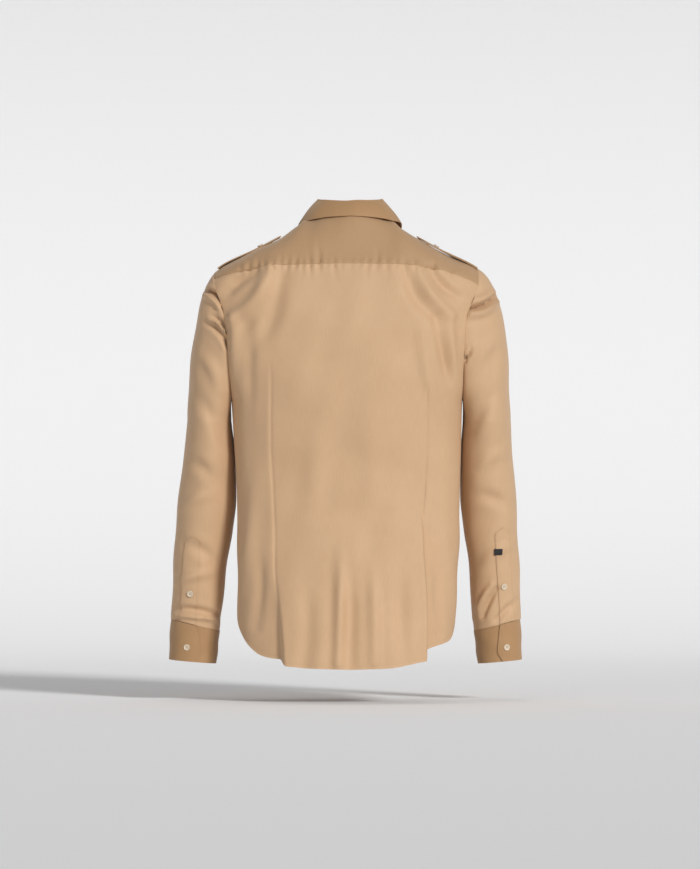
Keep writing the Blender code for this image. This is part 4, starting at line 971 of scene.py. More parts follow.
def make_back(look):
    rows = back_rows()
    left, right = back_side(LEFT, rows), back_side(RIGHT, rows)
    middle = (left[:, 0] + right[:, 0]) / 2
    left[:, 0] = right[:, 0] = middle
    points = np.concatenate([left[:, ::-1], right[:, 1:]], axis=1)
    points = eased(points, rows, (0, -1))
    normals = panel_normals(points, rows, "back", ((LEFT, 0), (RIGHT, -1)))
    points = relief(points, normals, BACK_CREASES, [], side_calm(points))
    points = points + normals * seam_puckers(points)[..., None]
    points = pressed(points, normals, points[-1:], HEM_GROOVE, WIDE_STITCH)
    points = pressed(points, normals, points[:1], SEAM_GROOVE)
    piece = place(cloth("cloth_back", points, normals, look), "back_panel", "fabric")
    lines = [row_line(points, normals, -1, WIDE_STITCH)]
    return piece, lines


def make_yoke(look):
    half = np.concatenate([np.linspace(0, YOKE_NECK_SHARE, 36), np.linspace(YOKE_NECK_SHARE, 1, 50)[1:]])
    share = np.concatenate([-half[:0:-1], half])
    v = np.linspace(0, 1, 46) ** 1.25
    points = yoke_point(share[None, :], v[:, None])
    normals = grid_normals(points, stack(0.0, 0.0, -0.15))
    for side, column in ((LEFT, 0), (RIGHT, -1)):
        angle = YOKE_BACK_ANGLE[side] + (YOKE_FRONT_ANGLE - YOKE_BACK_ANGLE[side]) * v
        normals[:, column] = armhole_normal(side, angle, normals[:, column])
    points = relief(points, normals, BACK_CREASES, FRONT_CREASES)
    back = smooth_step(0.02, -0.01, points[..., 1])
    points = points + normals * (seam_puckers(points) * back)[..., None]
    for edge, groove in ((points[:1], SEAM_GROOVE), (points[-1:], FRONT_SEAM_GROOVE)):
        points = pressed(points, normals, edge, groove)
    for edge in (points[:, :1], points[:, -1:]):
        points = pressed(points, normals, edge, ARMHOLE_GROOVE, WIDE_STITCH)
    piece = place(cloth("cloth_yoke", points, normals, look), "back_yoke", "fabric")
    lines = [row_line(points, normals, 0, EDGE_STITCH), row_line(points, normals, -1, EDGE_STITCH),
             column_line(points, normals, 0, WIDE_STITCH), column_line(points, normals, -1, WIDE_STITCH)]
    return piece, lines


def front_side(side, rows, columns):
    t = np.broadcast_to(rows[:, None], (len(rows), len(columns)))
    x = np.broadcast_to(np.array(columns)[None, :], t.shape)
    strip = front_share(side, np.minimum(np.abs(x), PLACKET_HALF_WIDTH) * np.sign(x), t)
    last = front_share(side, np.full(t.shape, PLACKET_HALF_WIDTH), t)
    beyond = np.clip((x - PLACKET_HALF_WIDTH) / (1.0 - PLACKET_HALF_WIDTH), 0.0, 1.0)
    share = np.where(x > PLACKET_HALF_WIDTH, last + (1 - last) * beyond, strip)
    points = eased(front_point(side, share, t), rows, (-1,))
    normals = grid_normals(points, stack(0.0, SIDE_Y, points[..., 2]))
    if side == RIGHT:
        under = UNDERLAP_DROP * (1 - smooth_step(0.022, 0.060, points[..., 0]))
        points = points - normals * under[..., None]
    return points, normals


def front_columns():
    strip = np.linspace(-PLACKET_HALF_WIDTH, PLACKET_HALF_WIDTH, PLACKET_COLUMNS)
    beyond = PLACKET_HALF_WIDTH + (1 - PLACKET_HALF_WIDTH) * np.linspace(0, 1, 70)[1:]
    return np.concatenate([strip, beyond])


def make_front(side, look):
    rows = np.concatenate([np.linspace(0, UNDERARM_T, 80), np.linspace(UNDERARM_T, 1, 130)[1:]])
    points, normals = front_side(side, rows, front_columns())
    edges = panel_normals(points, rows, "front", ((side, -1),))
    normals[:, -1] = edges[:, -1]
    points = relief(points, normals, [], FRONT_CREASES, side_calm(points))
    points = pressed(points, normals, points[-1:], HEM_GROOVE, WIDE_STITCH)
    name = SIDE_NAMES[side]
    piece = place(cloth("cloth_front_" + name, points, normals, look), "front_" + name, "fabric")
    return piece, [row_line(points, normals, -1, WIDE_STITCH)], points, normals


def make_front_placket(points, normals, look):
    strip = points[:, :PLACKET_COLUMNS].copy()
    outward = normals[:, :PLACKET_COLUMNS]
    strip[0] = strip[0] + (strip[1] - strip[0]) * 0.9
    lift = CLOTH_WALL + SEAM_GAP
    piece = cloth("cloth_front_placket", strip, outward, look, lift=lift)
    place(piece, "front_placket", "fabric")
    lines = [column_line(strip, outward, column, PLACKET_STITCH, lift) for column in (0, -1)]
    return piece, lines


def sleeve_calm(points, angle):
    inner = smooth_step(235.0, 262.0, angle % 360) * smooth_step(330.0, 300.0, angle % 360)
    near = inner * smooth_step(-0.56, -0.47, points[..., 2])
    return 1.0 - 0.9 * near


def sleeve_points(side):
    angle = np.arange(-90.0, 270.0, 2.5)
    caps = np.linspace(0, 1, 56) ** 1.1
    lower = np.linspace(SLEEVE_TOP_Z, CUFF_TOP_Z + SEAM_GAP / 2, 112)[1:]
    rows = [sleeve_cap(side, angle, np.full(angle.shape, share)) for share in caps]
    rows += [sleeve_ring(side, angle, np.full(angle.shape, z)) for z in lower]
    points = np.array(rows)
    normals = grid_normals(points, points.mean(axis=1, keepdims=True), ring=True)
    normals[0] = armhole_normal(side, angle, normals[0])
    return points, normals, np.broadcast_to(angle, points.shape[:2])


def sleeve_relief(side, points, normals, angle):
    return relief(points, normals, SLEEVE_CREASES[side], SLEEVE_FRONT_CREASES[side],
                  sleeve_calm(points, angle) * smooth_step(CUFF_TOP_Z, CUFF_TOP_Z + 0.012, points[..., 2]))


def make_sleeve(side, look):
    points, normals, angle = sleeve_points(side)
    points = sleeve_relief(side, points, normals, angle)
    name = SIDE_NAMES[side]
    return place(cloth("cloth_sleeve_" + name, points, normals, look, ring=True), "sleeve_" + name, "fabric")


def make_cuff(side, look):
    row = CUFF[side]
    levels = np.linspace(CUFF_TOP_Z - SEAM_GAP / 2, CUFF_BOTTOM_Z, 26)
    start = ring_angle(side, row.under, CUFF_TOP_Z)
    parts = np.concatenate([np.linspace(0, 0.88, 120), np.linspace(0.88, 1.0, 24)[1:]])
    points = np.zeros((len(levels), len(parts), 3))
    for index, z in enumerate(levels):
        down = index / (len(levels) - 1)
        edge_x = row.edge_top + (row.edge_bottom - row.edge_top) * min(1.0, down * 1.6)
        edge_x += row.chamfer * max(0.0, down - 0.75) * 4
        end = ring_angle(side, edge_x, z) + 360.0
        angle = start + (end - start) * parts
        over = smooth_step(0.80, 0.90, parts) * (CUFF_WALL + CUFF_LAP_GAP)
        ring = sleeve_ring(side, angle, np.full(angle.shape, z))
        turn = np.radians(angle)
        outward = stack(side * np.sin(turn), np.cos(turn), 0.0)
        puff = 0.0008 * np.sin(np.pi * down) + 0.0005 * np.sin(turn * 3 + 9 * down)
        points[index] = ring + outward * (over + puff)[:, None]
    turn = np.radians(angle)
    normals = np.broadcast_to(stack(side * np.sin(turn), np.cos(turn), 0.0), points.shape).copy()
    name = SIDE_NAMES[side]
    piece = place(cloth("cloth_cuff_" + name, points, normals, look, wall=CUFF_WALL),
                  "cuff_" + name, "fabric")
    lines = [row_line(points, normals, 0, EDGE_STITCH), row_line(points, normals, 0, WIDE_STITCH),
             row_line(points, normals, -1, EDGE_STITCH), row_line(points, normals, -1, WIDE_STITCH),
             column_line(points, normals, -1, EDGE_STITCH)]
    return piece, lines


def make_sleeve_placket(side, look):
    row = PLACKET[side]
    columns, levels = 17, 70
    points = np.zeros((levels, columns, 3))
    angles = np.zeros((levels, columns))
    for column, part in enumerate(np.linspace(0, 1, columns)):
        top = row.shoulder + (row.top - row.shoulder) * (1 - abs(2 * part - 1))
        z = np.linspace(top, CUFF_TOP_Z + 0.0012, levels)
        lean = (CUFF[side].edge_top - row.inner) * smooth_step(row.shoulder, CUFF_TOP_Z, z)
        angle = ring_angle(side, row.inner + (row.outer - row.inner) * part + lean, z)
        points[:, column] = sleeve_ring(side, angle, z)
        angles[:, column] = angle
    normals = grid_normals(points, stack(side * 0.25, 0.045, points[..., 2]))
    points = sleeve_relief(side, points, normals, angles)
    lift = CLOTH_WALL + SEAM_GAP
    name = SIDE_NAMES[side]
    piece = place(cloth("cloth_sleeve_placket_" + name, points, normals, look, lift=lift),
                  "sleeve_placket_" + name, "fabric")
    box = np.argmin(np.abs(points[:, 0, 2] - (row.shoulder - 0.014)))
    lines = [row_line(points, normals, 0, EDGE_STITCH, lift),
             column_line(points, normals, 0, EDGE_STITCH, lift),
             column_line(points, normals, -1, EDGE_STITCH, lift),
             (points[box], normals[box], lift)]
    return piece, lines


def make_tab(look):
    width, height = TAB_SIZE
    z = np.linspace(TAB_MIDDLE[1] + height / 2, TAB_MIDDLE[1] - height / 2, 12)
    x = np.linspace(TAB_MIDDLE[0] - width / 2, TAB_MIDDLE[0] + width / 2, 14)
    grid_z, grid_x = np.meshgrid(z, x, indexing="ij")
    angle = ring_angle(RIGHT, grid_x, grid_z)
    points = sleeve_ring(RIGHT, angle, grid_z)
    normals = grid_normals(points, stack(0.25, 0.045, points[..., 2]))
    points = sleeve_relief(RIGHT, points, normals, angle)
    lift = CLOTH_WALL + 2 * SEAM_GAP + TAB_CLOTH
    piece = cloth("cloth_tab", points, normals, look, wall=TAB_CLOTH, lift=lift)
    return place(piece, "label_tab", "tab")


def stand_section(angle):
    """Foot and top of the collar stand, and the outward direction, at an angle round the neck."""
    foot = neck_point(angle)
    turn = np.radians(angle)
    outward = stack(np.sin(turn), -np.cos(turn), 0.0)
    reach = np.abs(angle)
    rise = curve(COLLAR, "angle", "rise", reach)[..., None]
    lean = curve(COLLAR, "angle", "lean", reach)[..., None]
    under = (COLLAR_WALL + STAND_OVERLAP) * smooth_step(145.0, 170.0, angle)[..., None]
    foot = foot - outward * under
    top = foot - outward * lean + np.array([0.0, 0.0, 1.0]) * rise
    return foot, top, outward


def make_stand(look):
    angle = np.arange(-STAND_END_ANGLE, STAND_END_ANGLE + 1.0, 2.0)
    foot, top, outward = stand_section(angle)
    lift = 0.03 + 0.05 * smooth_step(120.0, 160.0, np.abs(angle))
    points = np.array([foot + (top - foot) * (lift + (1 - lift) * level)[:, None]
                       for level in np.linspace(0, 1, 14)])
    normals = grid_normals(points, stack(0.0, 0.0, points[..., 2]))
    piece = place(cloth("cloth_collar_stand", points, normals, look, wall=COLLAR_WALL),
                  "collar_stand", "fabric")
    return piece, [row_line(points, normals, 0, EDGE_STITCH)]


def leaf_point(angle, part):
    """Point of the turned-down collar: part 0 on the stand, over the roll, to 1 at its edge."""
    foot, top, outward = stand_section(angle)
    reach = np.abs(angle)
    up = np.array([0.0, 0.0, 1.0])
    turn = np.radians(angle)
    back = stack(np.cos(turn), np.sin(turn), 0.0) * -np.sign(angle)[..., None]
    out = curve(COLLAR, "angle", "out", reach)[..., None]
    down = curve(COLLAR, "angle", "down", reach)[..., None]
    sweep = curve(COLLAR, "angle", "sweep", reach)[..., None]
    first = top + up * 0.0004
    edge = top + up * ROLL_RISE + outward * (ROLL_REACH + out) - up * down + back * sweep
    rolled = np.radians(180.0 - 150.0 * np.clip(part / 0.2, 0.0, 1.0))
    roll = first + outward * (ROLL_REACH * (1 + np.cos(rolled)) * 0.8) + up * (ROLL_RISE * np.sin(rolled))
    start = first + outward * (ROLL_REACH * (1 + np.cos(np.radians(30.0))) * 0.8)
    start = start + up * (ROLL_RISE * 0.5)
    along = np.clip((part - 0.2) / 0.8, 0.0, 1.0)
    bulge = (0.0020 + 0.0025 * smooth_step(90.0, 130.0, reach)[..., None]) * 4 * along * (1 - along)
    leaf = start + (edge - start) * along + (outward * 0.6 + up * 0.8) * bulge
    return roll if part <= 0.2 else leaf


def make_leaf(look):
    angle = np.linspace(-LEAF_END_ANGLE, LEAF_END_ANGLE, 221)
    parts = np.concatenate([np.linspace(0, 0.2, 12), np.linspace(0.2, 1.0, 34)[1:]])
    points = np.array([leaf_point(angle, part) for part in parts])
    normals = grid_normals(points, stack(0.0, 0.0, points[..., 2] - 0.03))
    points = points + normals * (0.4 * wave_height(points * 1.6))[..., None]
    piece = place(cloth("cloth_collar_fall", points, normals, look, wall=COLLAR_WALL),
                  "collar_fall", "fabric")
    lines = [row_line(points, normals, -1, COLLAR_STITCH), column_line(points, normals, 0, COLLAR_STITCH),
             column_line(points, normals, -1, COLLAR_STITCH)]
    return piece, lines


def strap_share(side, x):
    """Yoke share along the shoulder's middle whose distance from the middle line is x."""
    shares = np.linspace(0.4, 0.99, 60)
    line = np.abs(yoke_point(side * shares, np.full(60, STRAP_MIDDLE))[..., 0])
    return np.interp(x, line, shares)


def strap_normal(side, along, across):
    delta = 0.004
    ahead = yoke_point(side * (along + delta), across) - yoke_point(side * (along - delta), across)
    over = yoke_point(side * along, across + delta) - yoke_point(side * along, across - delta)
    normal = unit(np.cross(ahead, over))
    return normal * np.where(normal[..., 2:] < 0, -1.0, 1.0)


def make_strap(side, look):
    inner = strap_share(side, STRAP_INNER[side])
    length_parts = np.linspace(0, 1, 44)
    across_parts = np.linspace(-1, 1, 23)
    points = np.zeros((len(length_parts), len(across_parts), 3))
    normals = np.zeros_like(points)
    steps = np.linspace(0, 1, 60)
    for row, part in enumerate(length_parts):
        along = STRAP_OUTER + (inner - STRAP_OUTER) * part
        line = yoke_point(np.full(60, side * along), steps)
        path = path_lengths(line)
        middle = np.interp(STRAP_MIDDLE, steps, path)
        taper = 1.0 - STRAP_TAPER * part
        pointed = STRAP_POINT * (1 - np.abs(across_parts)) * smooth_step(0.5, 1.0, part)
        here = along + (inner - STRAP_OUTER) * pointed / STRAP_LENGTH
        v = np.interp(middle + across_parts * STRAP_HALF_WIDTH * taper, path, steps)
        points[row] = yoke_point(side * here, v)
        normals[row] = strap_normal(side, here, v)
    lift = STRAP_LIFT[side] * np.sin(np.pi * np.clip(length_parts, 0.02, 0.98)) ** 0.6
    points = points + normals * lift[:, None, None]
    name = SIDE_NAMES[side]
    over = STRAP_WALL + SEAM_GAP
    piece = place(cloth("cloth_epaulette_" + name, points, normals, look, wall=STRAP_WALL, lift=over),
                  "epaulette_" + name, "fabric")
    lines = [column_line(points, normals, 0, EDGE_STITCH, over),
             column_line(points, normals, -1, EDGE_STITCH, over),
             row_line(points, normals, -1, EDGE_STITCH, over)]
    return piece, lines, points[31, 11], normals[31, 11]


def make_button(name, node, spot, normal, look, thread, radius=BUTTON_RADIUS):
    """Round button with a raised rim and four holes, and the cross of thread that holds it."""
    normal = unit(np.asarray(normal, float))
    side = unit(np.cross(normal, np.array([0.0, 0.0, 1.0]) if abs(normal[2]) < 0.9
                         else np.array([0.0, 1.0, 0.0])))
    up = np.cross(normal, side)
    count = BUTTON_CORNERS
    turn = np.arange(count) * 2 * np.pi / count
    vertices = []
    for share, height in BUTTON_PROFILE:
        ring = spot + (np.cos(turn)[:, None] * side + np.sin(turn)[:, None] * up) * radius * share
        vertices.append(ring + normal * BUTTON_HEIGHT * height)
    faces = []
    for ring in range(len(BUTTON_PROFILE) - 1):
        for index in range(count):
            a, b = ring * count + index, ring * count + (index + 1) % count
            faces.append((a, b, b + count, a + count))
    faces.append(tuple(reversed(range(count))))
    top = spot + normal * BUTTON_HEIGHT * 0.62
    inner = (len(BUTTON_PROFILE) - 1) * count
    holes, number = [], len(BUTTON_PROFILE) * count
    for place_x, place_y in ((-1, -1), (1, -1), (1, 1), (-1, 1)):
        middle = (place_x * side + place_y * up) * radius * HOLE_PLACE
        hole_turn = (np.arange(HOLE_CORNERS) * np.pi / 4)[:, None]
        outward = np.cos(hole_turn) * side + np.sin(hole_turn) * up
        for share, height in HOLE_PROFILE:
            vertices.append(spot + (middle + outward * radius * share) + normal * BUTTON_HEIGHT * height)
        holes.append(number)
        number += 2 * HOLE_CORNERS
    for first in holes:
        for index in range(HOLE_CORNERS):
            a, b = first + index, first + (index + 1) % HOLE_CORNERS
            faces.append((b, a, a + HOLE_CORNERS, b + HOLE_CORNERS))
        faces.append(tuple(first + HOLE_CORNERS + index for index in range(HOLE_CORNERS)))
    vertices = np.concatenate(vertices)
    flat = np.stack([(vertices - top) @ side, (vertices - top) @ up], axis=1)
    border = [inner + index for index in range(count)]
    faces += fill_face(flat, border, [[first + index for index in range(HOLE_CORNERS)] for first in holes])
    place(add_object(name, vertices, faces, look), node, "button")
    thread_cross(name + "_thread", spot, normal, side, up, radius, thread)


def fill_face(flat, border, holes):
    """Faces between a round border and round holes inside it."""
    index = border + [corner for hole in holes for corner in hole]
    spots = [tuple(flat[corner]) for corner in index]
    edges, first = [], 0
    for loop in [border] + holes:
        edges += [(first + k, first + (k + 1) % len(loop)) for k in range(len(loop))]
        first += len(loop)
    result = delaunay_2d_cdt(spots, edges, [], 0, 1e-9)
    found = []
    reach = np.array([flat[hole].mean(axis=0) for hole in holes])
    radius = np.linalg.norm(flat[holes[0][0]] - reach[0])
    for face in result[2]:
        corners = [index[result[3][corner][0]] for corner in face]
        centre = flat[corners].mean(axis=0)
        if np.min(np.linalg.norm(reach - centre, axis=1)) > radius * 0.97:
            found.append(tuple(corners))
    return found


def thread_cross(name, spot, normal, side, up, radius, look):
    rows = []
    for way in (-1, 1):
        ends = [(-1, -way), (1, way)]
        line = np.array([spot + (a * side + b * up) * radius * HOLE_PLACE for a, b in ends])
        line = line[0] + (line[1] - line[0]) * np.linspace(0, 1, 7)[:, None]
        height = BUTTON_HEIGHT * (0.35 + 0.42 * np.sin(np.linspace(0, np.pi, 7)) ** 0.5)
        line = line + normal * height[:, None]
        rows.append(line)
    vertices, faces = [], []
    turn = np.radians([0, 90, 180, 270])
    for number, line in enumerate(rows):
        along = unit(line[-1] - line[0])
        across = unit(np.cross(normal, along))
        for spot_now in line:
            for angle in turn:
                vertices.append(spot_now + (across * np.cos(angle) + normal * np.sin(angle)) * THREAD_RADIUS)
        base = number * 28
        for step in range(6):
            for corner in range(4):
                a, b = base + step * 4 + corner, base + step * 4 + (corner + 1) % 4
                faces.append((a, b, b + 4, a + 4))
    made = add_object(name, np.array(vertices), faces, look)
    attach(made, "root")


def surface_spot(points):
    """Middle of a small grid, and its normal."""
    normal = unit(np.cross(points[2, 1] - points[0, 1], points[1, 2] - points[1, 0]))
    return points[1, 1], normal


def make_sleeve_buttons(side, look, thread):
    name = SIDE_NAMES[side]
    row = CUFF[side]
    step = 0.002
    spots = {
        "cuff": (row.button_x, row.button_z, CUFF_WALL + CUFF_LAP_GAP + SEAM_GAP),
        "placket": (sum(PLACKET[side][:2]) / 2 + 0.003, PLACKET[side].button_z, CLOTH_WALL + 2 * SEAM_GAP),
    }
    for label, (x, z, lift) in spots.items():
        levels = np.array([z - step, z, z + step])
        places = np.array([x - step, x, x + step])
        grid_z, grid_x = np.meshgrid(levels, places, indexing="ij")
        angle = ring_angle(side, grid_x, grid_z)
        points = sleeve_ring(side, angle, grid_z)
        spot, normal = surface_spot(points)
        if normal[1] > 0:
            normal = -normal
        if label == "placket":
            moved = sleeve_relief(side, points, np.broadcast_to(normal, points.shape), angle)
            spot = moved[1, 1]
        make_button("button_look_%s_%s" % (label, name), "button_%s_%s" % (label, name),
                    spot + normal * lift, normal, look, thread)


def make_front_buttons(points, normals, look, thread):
    middle = (points[:, 5] + points[:, 6]) / 2
    direction = unit(normals[:, 5] + normals[:, 6])
    for index, z in enumerate(FRONT_BUTTONS):
        row = np.argmin(np.abs(middle[:, 2] - z))
        make_button("button_look_front_%d" % (index + 1), "button_front_%d" % (index + 1),
                    middle[row] + direction[row] * (CLOTH_WALL + 3 * SEAM_GAP), direction[row], look, thread)


def make_stand_button(look, thread):
    foot, top, outward = stand_section(np.array([-180.0]))
    normal = unit(np.cross(np.array([1.0, 0.0, 0.0]), unit(top[0] - foot[0])))
    if normal[1] < 0:
        normal = -normal
    spot = (foot[0] + top[0]) / 2 + normal * (2 * SEAM_GAP)
    make_button("button_look_collar", "button_collar", spot, normal, look, thread,
                radius=BUTTON_RADIUS * 0.9)


class Nodes:
    """Short way to add and link a material's nodes."""

    def __init__(self, look):
        self.tree = look.node_tree

    def add(self, kind, inputs=None, **settings):
        node = self.tree.nodes.new(kind)
        for key, value in settings.items():
            setattr(node, key, value)
        for key, value in (inputs or {}).items():
            if isinstance(value, bpy.types.NodeSocket):
                self.tree.links.new(value, node.inputs[key])
            else:
                node.inputs[key].default_value = value
        return node

    def math(self, operation, first, second=0.0):
        return self.add("ShaderNodeMath", {0: first, 1: second}, operation=operation).outputs[0]


def new_look(name):
    look = bpy.data.materials.new(name)
    look.use_nodes = True
    return look, Nodes(look), look.node_tree.nodes["Principled BSDF"]


def fabric_look(name, light, dark):
    """Warm cotton satin: a fine diagonal weave, slight slubs and a soft sheen."""
    look, nodes, shader = new_look(name)
    cloth_uv = nodes.add("ShaderNodeUVMap", uv_map="cloth").outputs[0]
    split = nodes.add("ShaderNodeSeparateXYZ", {0: cloth_uv})
    across, down = split.outputs[0], split.outputs[1]
    twill = nodes.math("SINE", nodes.math("MULTIPLY", nodes.math("ADD", across, down), 2 * np.pi / 0.0011))
    warp = nodes.math("SINE", nodes.math("MULTIPLY", across, 2 * np.pi / 0.0007))
    weave = nodes.math("ADD", nodes.math("MULTIPLY", twill, 0.6), nodes.math("MULTIPLY", warp, 0.4))
    stretched = nodes.add("ShaderNodeMapping", {"Vector": cloth_uv, "Scale": (900.0, 45.0, 1.0)}).outputs[0]
    slub = nodes.add("ShaderNodeTexNoise", {"Vector": stretched, "Scale": 1.0, "Detail": 3.0}).outputs[0]
    broad = nodes.add("ShaderNodeTexNoise", {"Vector": cloth_uv, "Scale": 14.0, "Detail": 3.0}).outputs[0]
    tone = nodes.math("ADD", nodes.math("MULTIPLY", slub, 0.45), nodes.math("MULTIPLY", broad, 0.35))
    tone = nodes.math("ADD", tone, nodes.math("MULTIPLY", weave, 0.10))
    ramp = nodes.add("ShaderNodeMapRange", {"Value": tone, "From Min": 0.15, "From Max": 0.65}).outputs[0]
    mix = nodes.add("ShaderNodeMix", data_type="RGBA")
    nodes.tree.links.new(ramp, mix.inputs[0])
    mix.inputs[6].default_value = dark
    mix.inputs[7].default_value = light
    nodes.tree.links.new(mix.outputs[2], shader.inputs["Base Color"])
    height = nodes.math("ADD", nodes.math("MULTIPLY", weave, 0.5), nodes.math("MULTIPLY", slub, 1.2))
    bump = nodes.add("ShaderNodeBump", {"Height": height, "Strength": 0.25, "Distance": 0.00012}).outputs[0]
    nodes.tree.links.new(bump, shader.inputs["Normal"])
    shader.inputs["Roughness"].default_value = 0.62
    shader.inputs["Sheen Weight"].default_value = 0.22
    shader.inputs["Sheen Roughness"].default_value = 0.45
    shader.inputs["Sheen Tint"].default_value = (1.0, 0.86, 0.70, 1.0)
    shader.inputs["Specular IOR Level"].default_value = 0.30
    return look


def pearl_look():
    look, nodes, shader = new_look("pearl")
    spot = nodes.add("ShaderNodeTexCoord").outputs["Object"]
    cloud = nodes.add("ShaderNodeTexNoise", {"Vector": spot, "Scale": 420.0, "Detail": 3.0}).outputs[0]
    mix = nodes.add("ShaderNodeMix", data_type="RGBA")
    nodes.tree.links.new(cloud, mix.inputs[0])
    mix.inputs[6].default_value = (0.50, 0.39, 0.27, 1.0)
    mix.inputs[7].default_value = (0.80, 0.70, 0.55, 1.0)
    nodes.tree.links.new(mix.outputs[2], shader.inputs["Base Color"])
    shader.inputs["Roughness"].default_value = 0.28
    shader.inputs["Coat Weight"].default_value = 0.35
    return look


def thread_look(name, colour):
    look, nodes, shader = new_look(name)
    spot = nodes.add("ShaderNodeTexCoord").outputs["Object"]
    ply = nodes.add("ShaderNodeTexNoise", {"Vector": spot, "Scale": 1800.0, "Detail": 2.0}).outputs[0]
    bump = nodes.add("ShaderNodeBump", {"Height": ply, "Strength": 0.4, "Distance": 0.0001}).outputs[0]
    nodes.tree.links.new(bump, shader.inputs["Normal"])
    shader.inputs["Base Color"].default_value = colour
    shader.inputs["Roughness"].default_value = 0.55
    return look


def tab_look():
    look, nodes, shader = new_look("black_ribbon")
    cloth_uv = nodes.add("ShaderNodeUVMap", uv_map="cloth").outputs[0]
    split = nodes.add("ShaderNodeSeparateXYZ", {0: cloth_uv})
    ribs = nodes.math("SINE", nodes.math("MULTIPLY", split.outputs[1], 2 * np.pi / 0.0006))
    bump = nodes.add("ShaderNodeBump", {"Height": ribs, "Strength": 0.4, "Distance": 0.0001}).outputs[0]
    nodes.tree.links.new(bump, shader.inputs["Normal"])
    shader.inputs["Base Color"].default_value = (0.010, 0.010, 0.011, 1.0)
    shader.inputs["Roughness"].default_value = 0.7
    return look


def backdrop_look():
    look, nodes, shader = new_look("backdrop")
    normal = nodes.add("ShaderNodeNewGeometry").outputs["Normal"]
    upward = nodes.add("ShaderNodeSeparateXYZ", {0: normal}).outputs[2]
    tone = nodes.add("ShaderNodeMapRange", {"Value": upward, "From Min": 0.0, "From Max": 1.0,
                                            "To Min": BACKDROP_TONE, "To Max": FLOOR_TONE}).outputs[0]
    nodes.tree.links.new(tone, shader.inputs["Base Color"])
    shader.inputs["Roughness"].default_value = 0.95
    shader.inputs["Specular IOR Level"].default_value = 0.0
    return look


def make_backdrop():
    """Pale floor that turns up in a wide curve on the +Y side, for the view from -Y only."""
    turn = np.radians(np.linspace(0.0, 90.0, 40))
    y = np.concatenate([[-14.0], BACKDROP_Y + BACKDROP_TURN * np.sin(turn), [BACKDROP_Y + BACKDROP_TURN]])
    z = np.concatenate([[0.0], BACKDROP_TURN * (1 - np.cos(turn)), [9.0]]) + FLOOR_Z
    vertices = [(x, b, c) for b, c in zip(y.tolist(), z.tolist()) for x in (-14.0, 14.0)]
    faces = [(2 * row, 2 * row + 1, 2 * row + 3, 2 * row + 2) for row in range(len(y) - 1)]
    mesh = bpy.data.meshes.new("backdrop")
    mesh.from_pydata(vertices, [], faces)
    mesh.shade_smooth()
    mesh.materials.append(backdrop_look())
    backdrop = bpy.data.objects.new("backdrop", mesh)
    bpy.context.scene.collection.objects.link(backdrop)


def sun_light(name, direction, strength, softness):
    light = bpy.data.lights.new(name, "SUN")
    light.energy = strength
    light.angle = np.radians(softness)
    made = bpy.data.objects.new(name, light)
    made.rotation_euler = Vector(direction).to_track_quat("-Z", "Y").to_euler()
    bpy.context.scene.collection.objects.link(made)


def make_stage():
    make_backdrop()
    sun_light("key", (-0.62, 1.0, -0.50), 2.35, 12.0)
    sun_light("fill", (0.70, 1.0, -0.10), 0.35, 40.0)
    world = bpy.data.worlds.new("studio")
    world.use_nodes = True
    shade = world.node_tree.nodes["Background"]
    shade.inputs[0].default_value = (0.30, 0.30, 0.305, 1.0)
    shade.inputs[1].default_value = 1.0
    bpy.context.scene.world = world
    bpy.context.scene.view_settings.view_transform = "Standard"


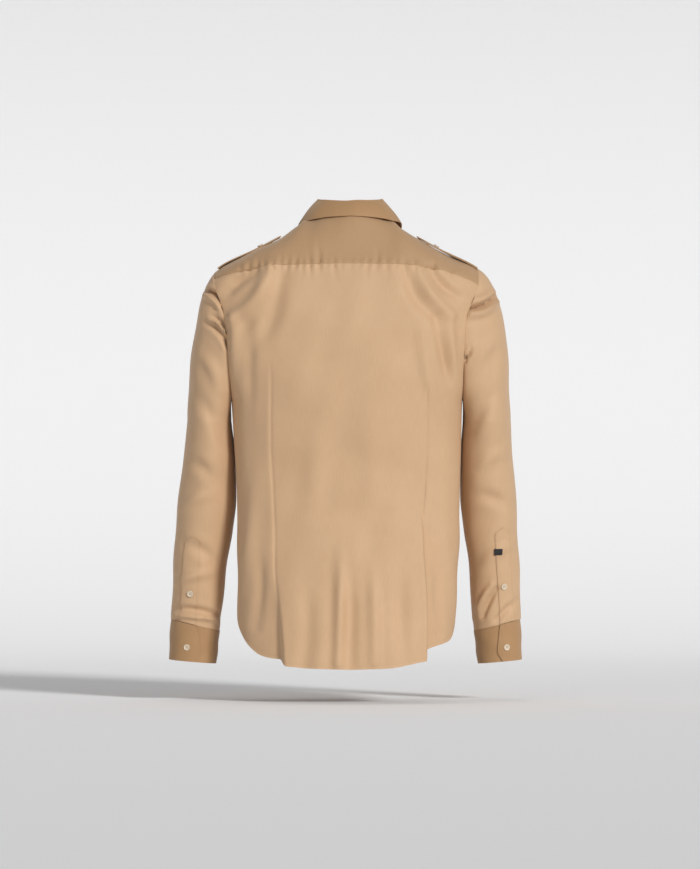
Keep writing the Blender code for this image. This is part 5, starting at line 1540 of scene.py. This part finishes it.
def make_camera():
    data = bpy.data.cameras.new("camera")
    data.sensor_fit = "VERTICAL"
    data.sensor_height = 36.0
    data.sensor_width = 36.0
    data.lens = 36.0 * CAMERA_DISTANCE / (IMAGE_SIZE[1] * PIXEL)
    camera = bpy.data.objects.new("camera", data)
    camera.location = (0.0, -CAMERA_DISTANCE - 0.06, IMAGE_CENTRE_Z)
    camera.rotation_euler = (np.radians(90.0), 0.0, 0.0)
    bpy.context.scene.collection.objects.link(camera)
    bpy.context.scene.camera = camera


def main():
    fabric = fabric_look("fabric", (0.600, 0.395, 0.232, 1.0), (0.520, 0.333, 0.190, 1.0))
    # The yoke, cuffs, collar and shoulder straps are cut from the same cloth, but they take darker copies of
    # its colours: painted shade for parts that lie in less light.
    shaded_yoke_fabric = fabric_look("shaded_yoke_fabric", (0.462, 0.288, 0.155, 1.0), (0.400, 0.243, 0.127, 1.0))
    shaded_edge_fabric = fabric_look("shaded_edge_fabric", (0.425, 0.250, 0.120, 1.0), (0.368, 0.211, 0.098, 1.0))
    thread = thread_look("thread", (0.470, 0.300, 0.170, 1.0))
    pearl = pearl_look()
    cream = thread_look("cream_thread", (0.62, 0.50, 0.34, 1.0))
    back, back_lines = make_back(fabric)
    yoke, yoke_lines = make_yoke(shaded_yoke_fabric)
    pieces = {"back": back, "yoke": yoke}
    rows = {"back": back_lines, "yoke": yoke_lines}
    for side in (LEFT, RIGHT):
        name = SIDE_NAMES[side]
        pieces["front_" + name], rows["front_" + name], points, normals = make_front(side, fabric)
        if side == LEFT:
            pieces["front_placket"], rows["front_placket"] = make_front_placket(points, normals, fabric)
            make_front_buttons(points, normals, pearl, cream)
        pieces["sleeve_" + name] = make_sleeve(side, fabric)
        pieces["cuff_" + name], rows["cuff_" + name] = make_cuff(side, shaded_edge_fabric)
        pieces["sleeve_placket_" + name], rows["sleeve_placket_" + name] = make_sleeve_placket(side, fabric)
        strap, strap_lines, spot, normal = make_strap(side, shaded_edge_fabric)
        pieces["epaulette_" + name], rows["epaulette_" + name] = strap, strap_lines
        make_button("button_look_strap_" + name, "button_strap_" + name,
                    spot + normal * (STRAP_WALL + 2 * SEAM_GAP), normal, pearl, cream,
                    radius=BUTTON_RADIUS * 0.95)
        make_sleeve_buttons(side, pearl, cream)
    pieces["collar_stand"], rows["collar_stand"] = make_stand(shaded_edge_fabric)
    pieces["collar_fall"], rows["collar_fall"] = make_leaf(shaded_edge_fabric)
    pieces["tab"] = make_tab(tab_look())
    make_stand_button(pearl, cream)
    for name, piece in pieces.items():
        lines = rows.get(name)
        seams = [stitches("stitches_" + name, lines, thread)] if lines else []
    make_stage()
    make_camera()


main()
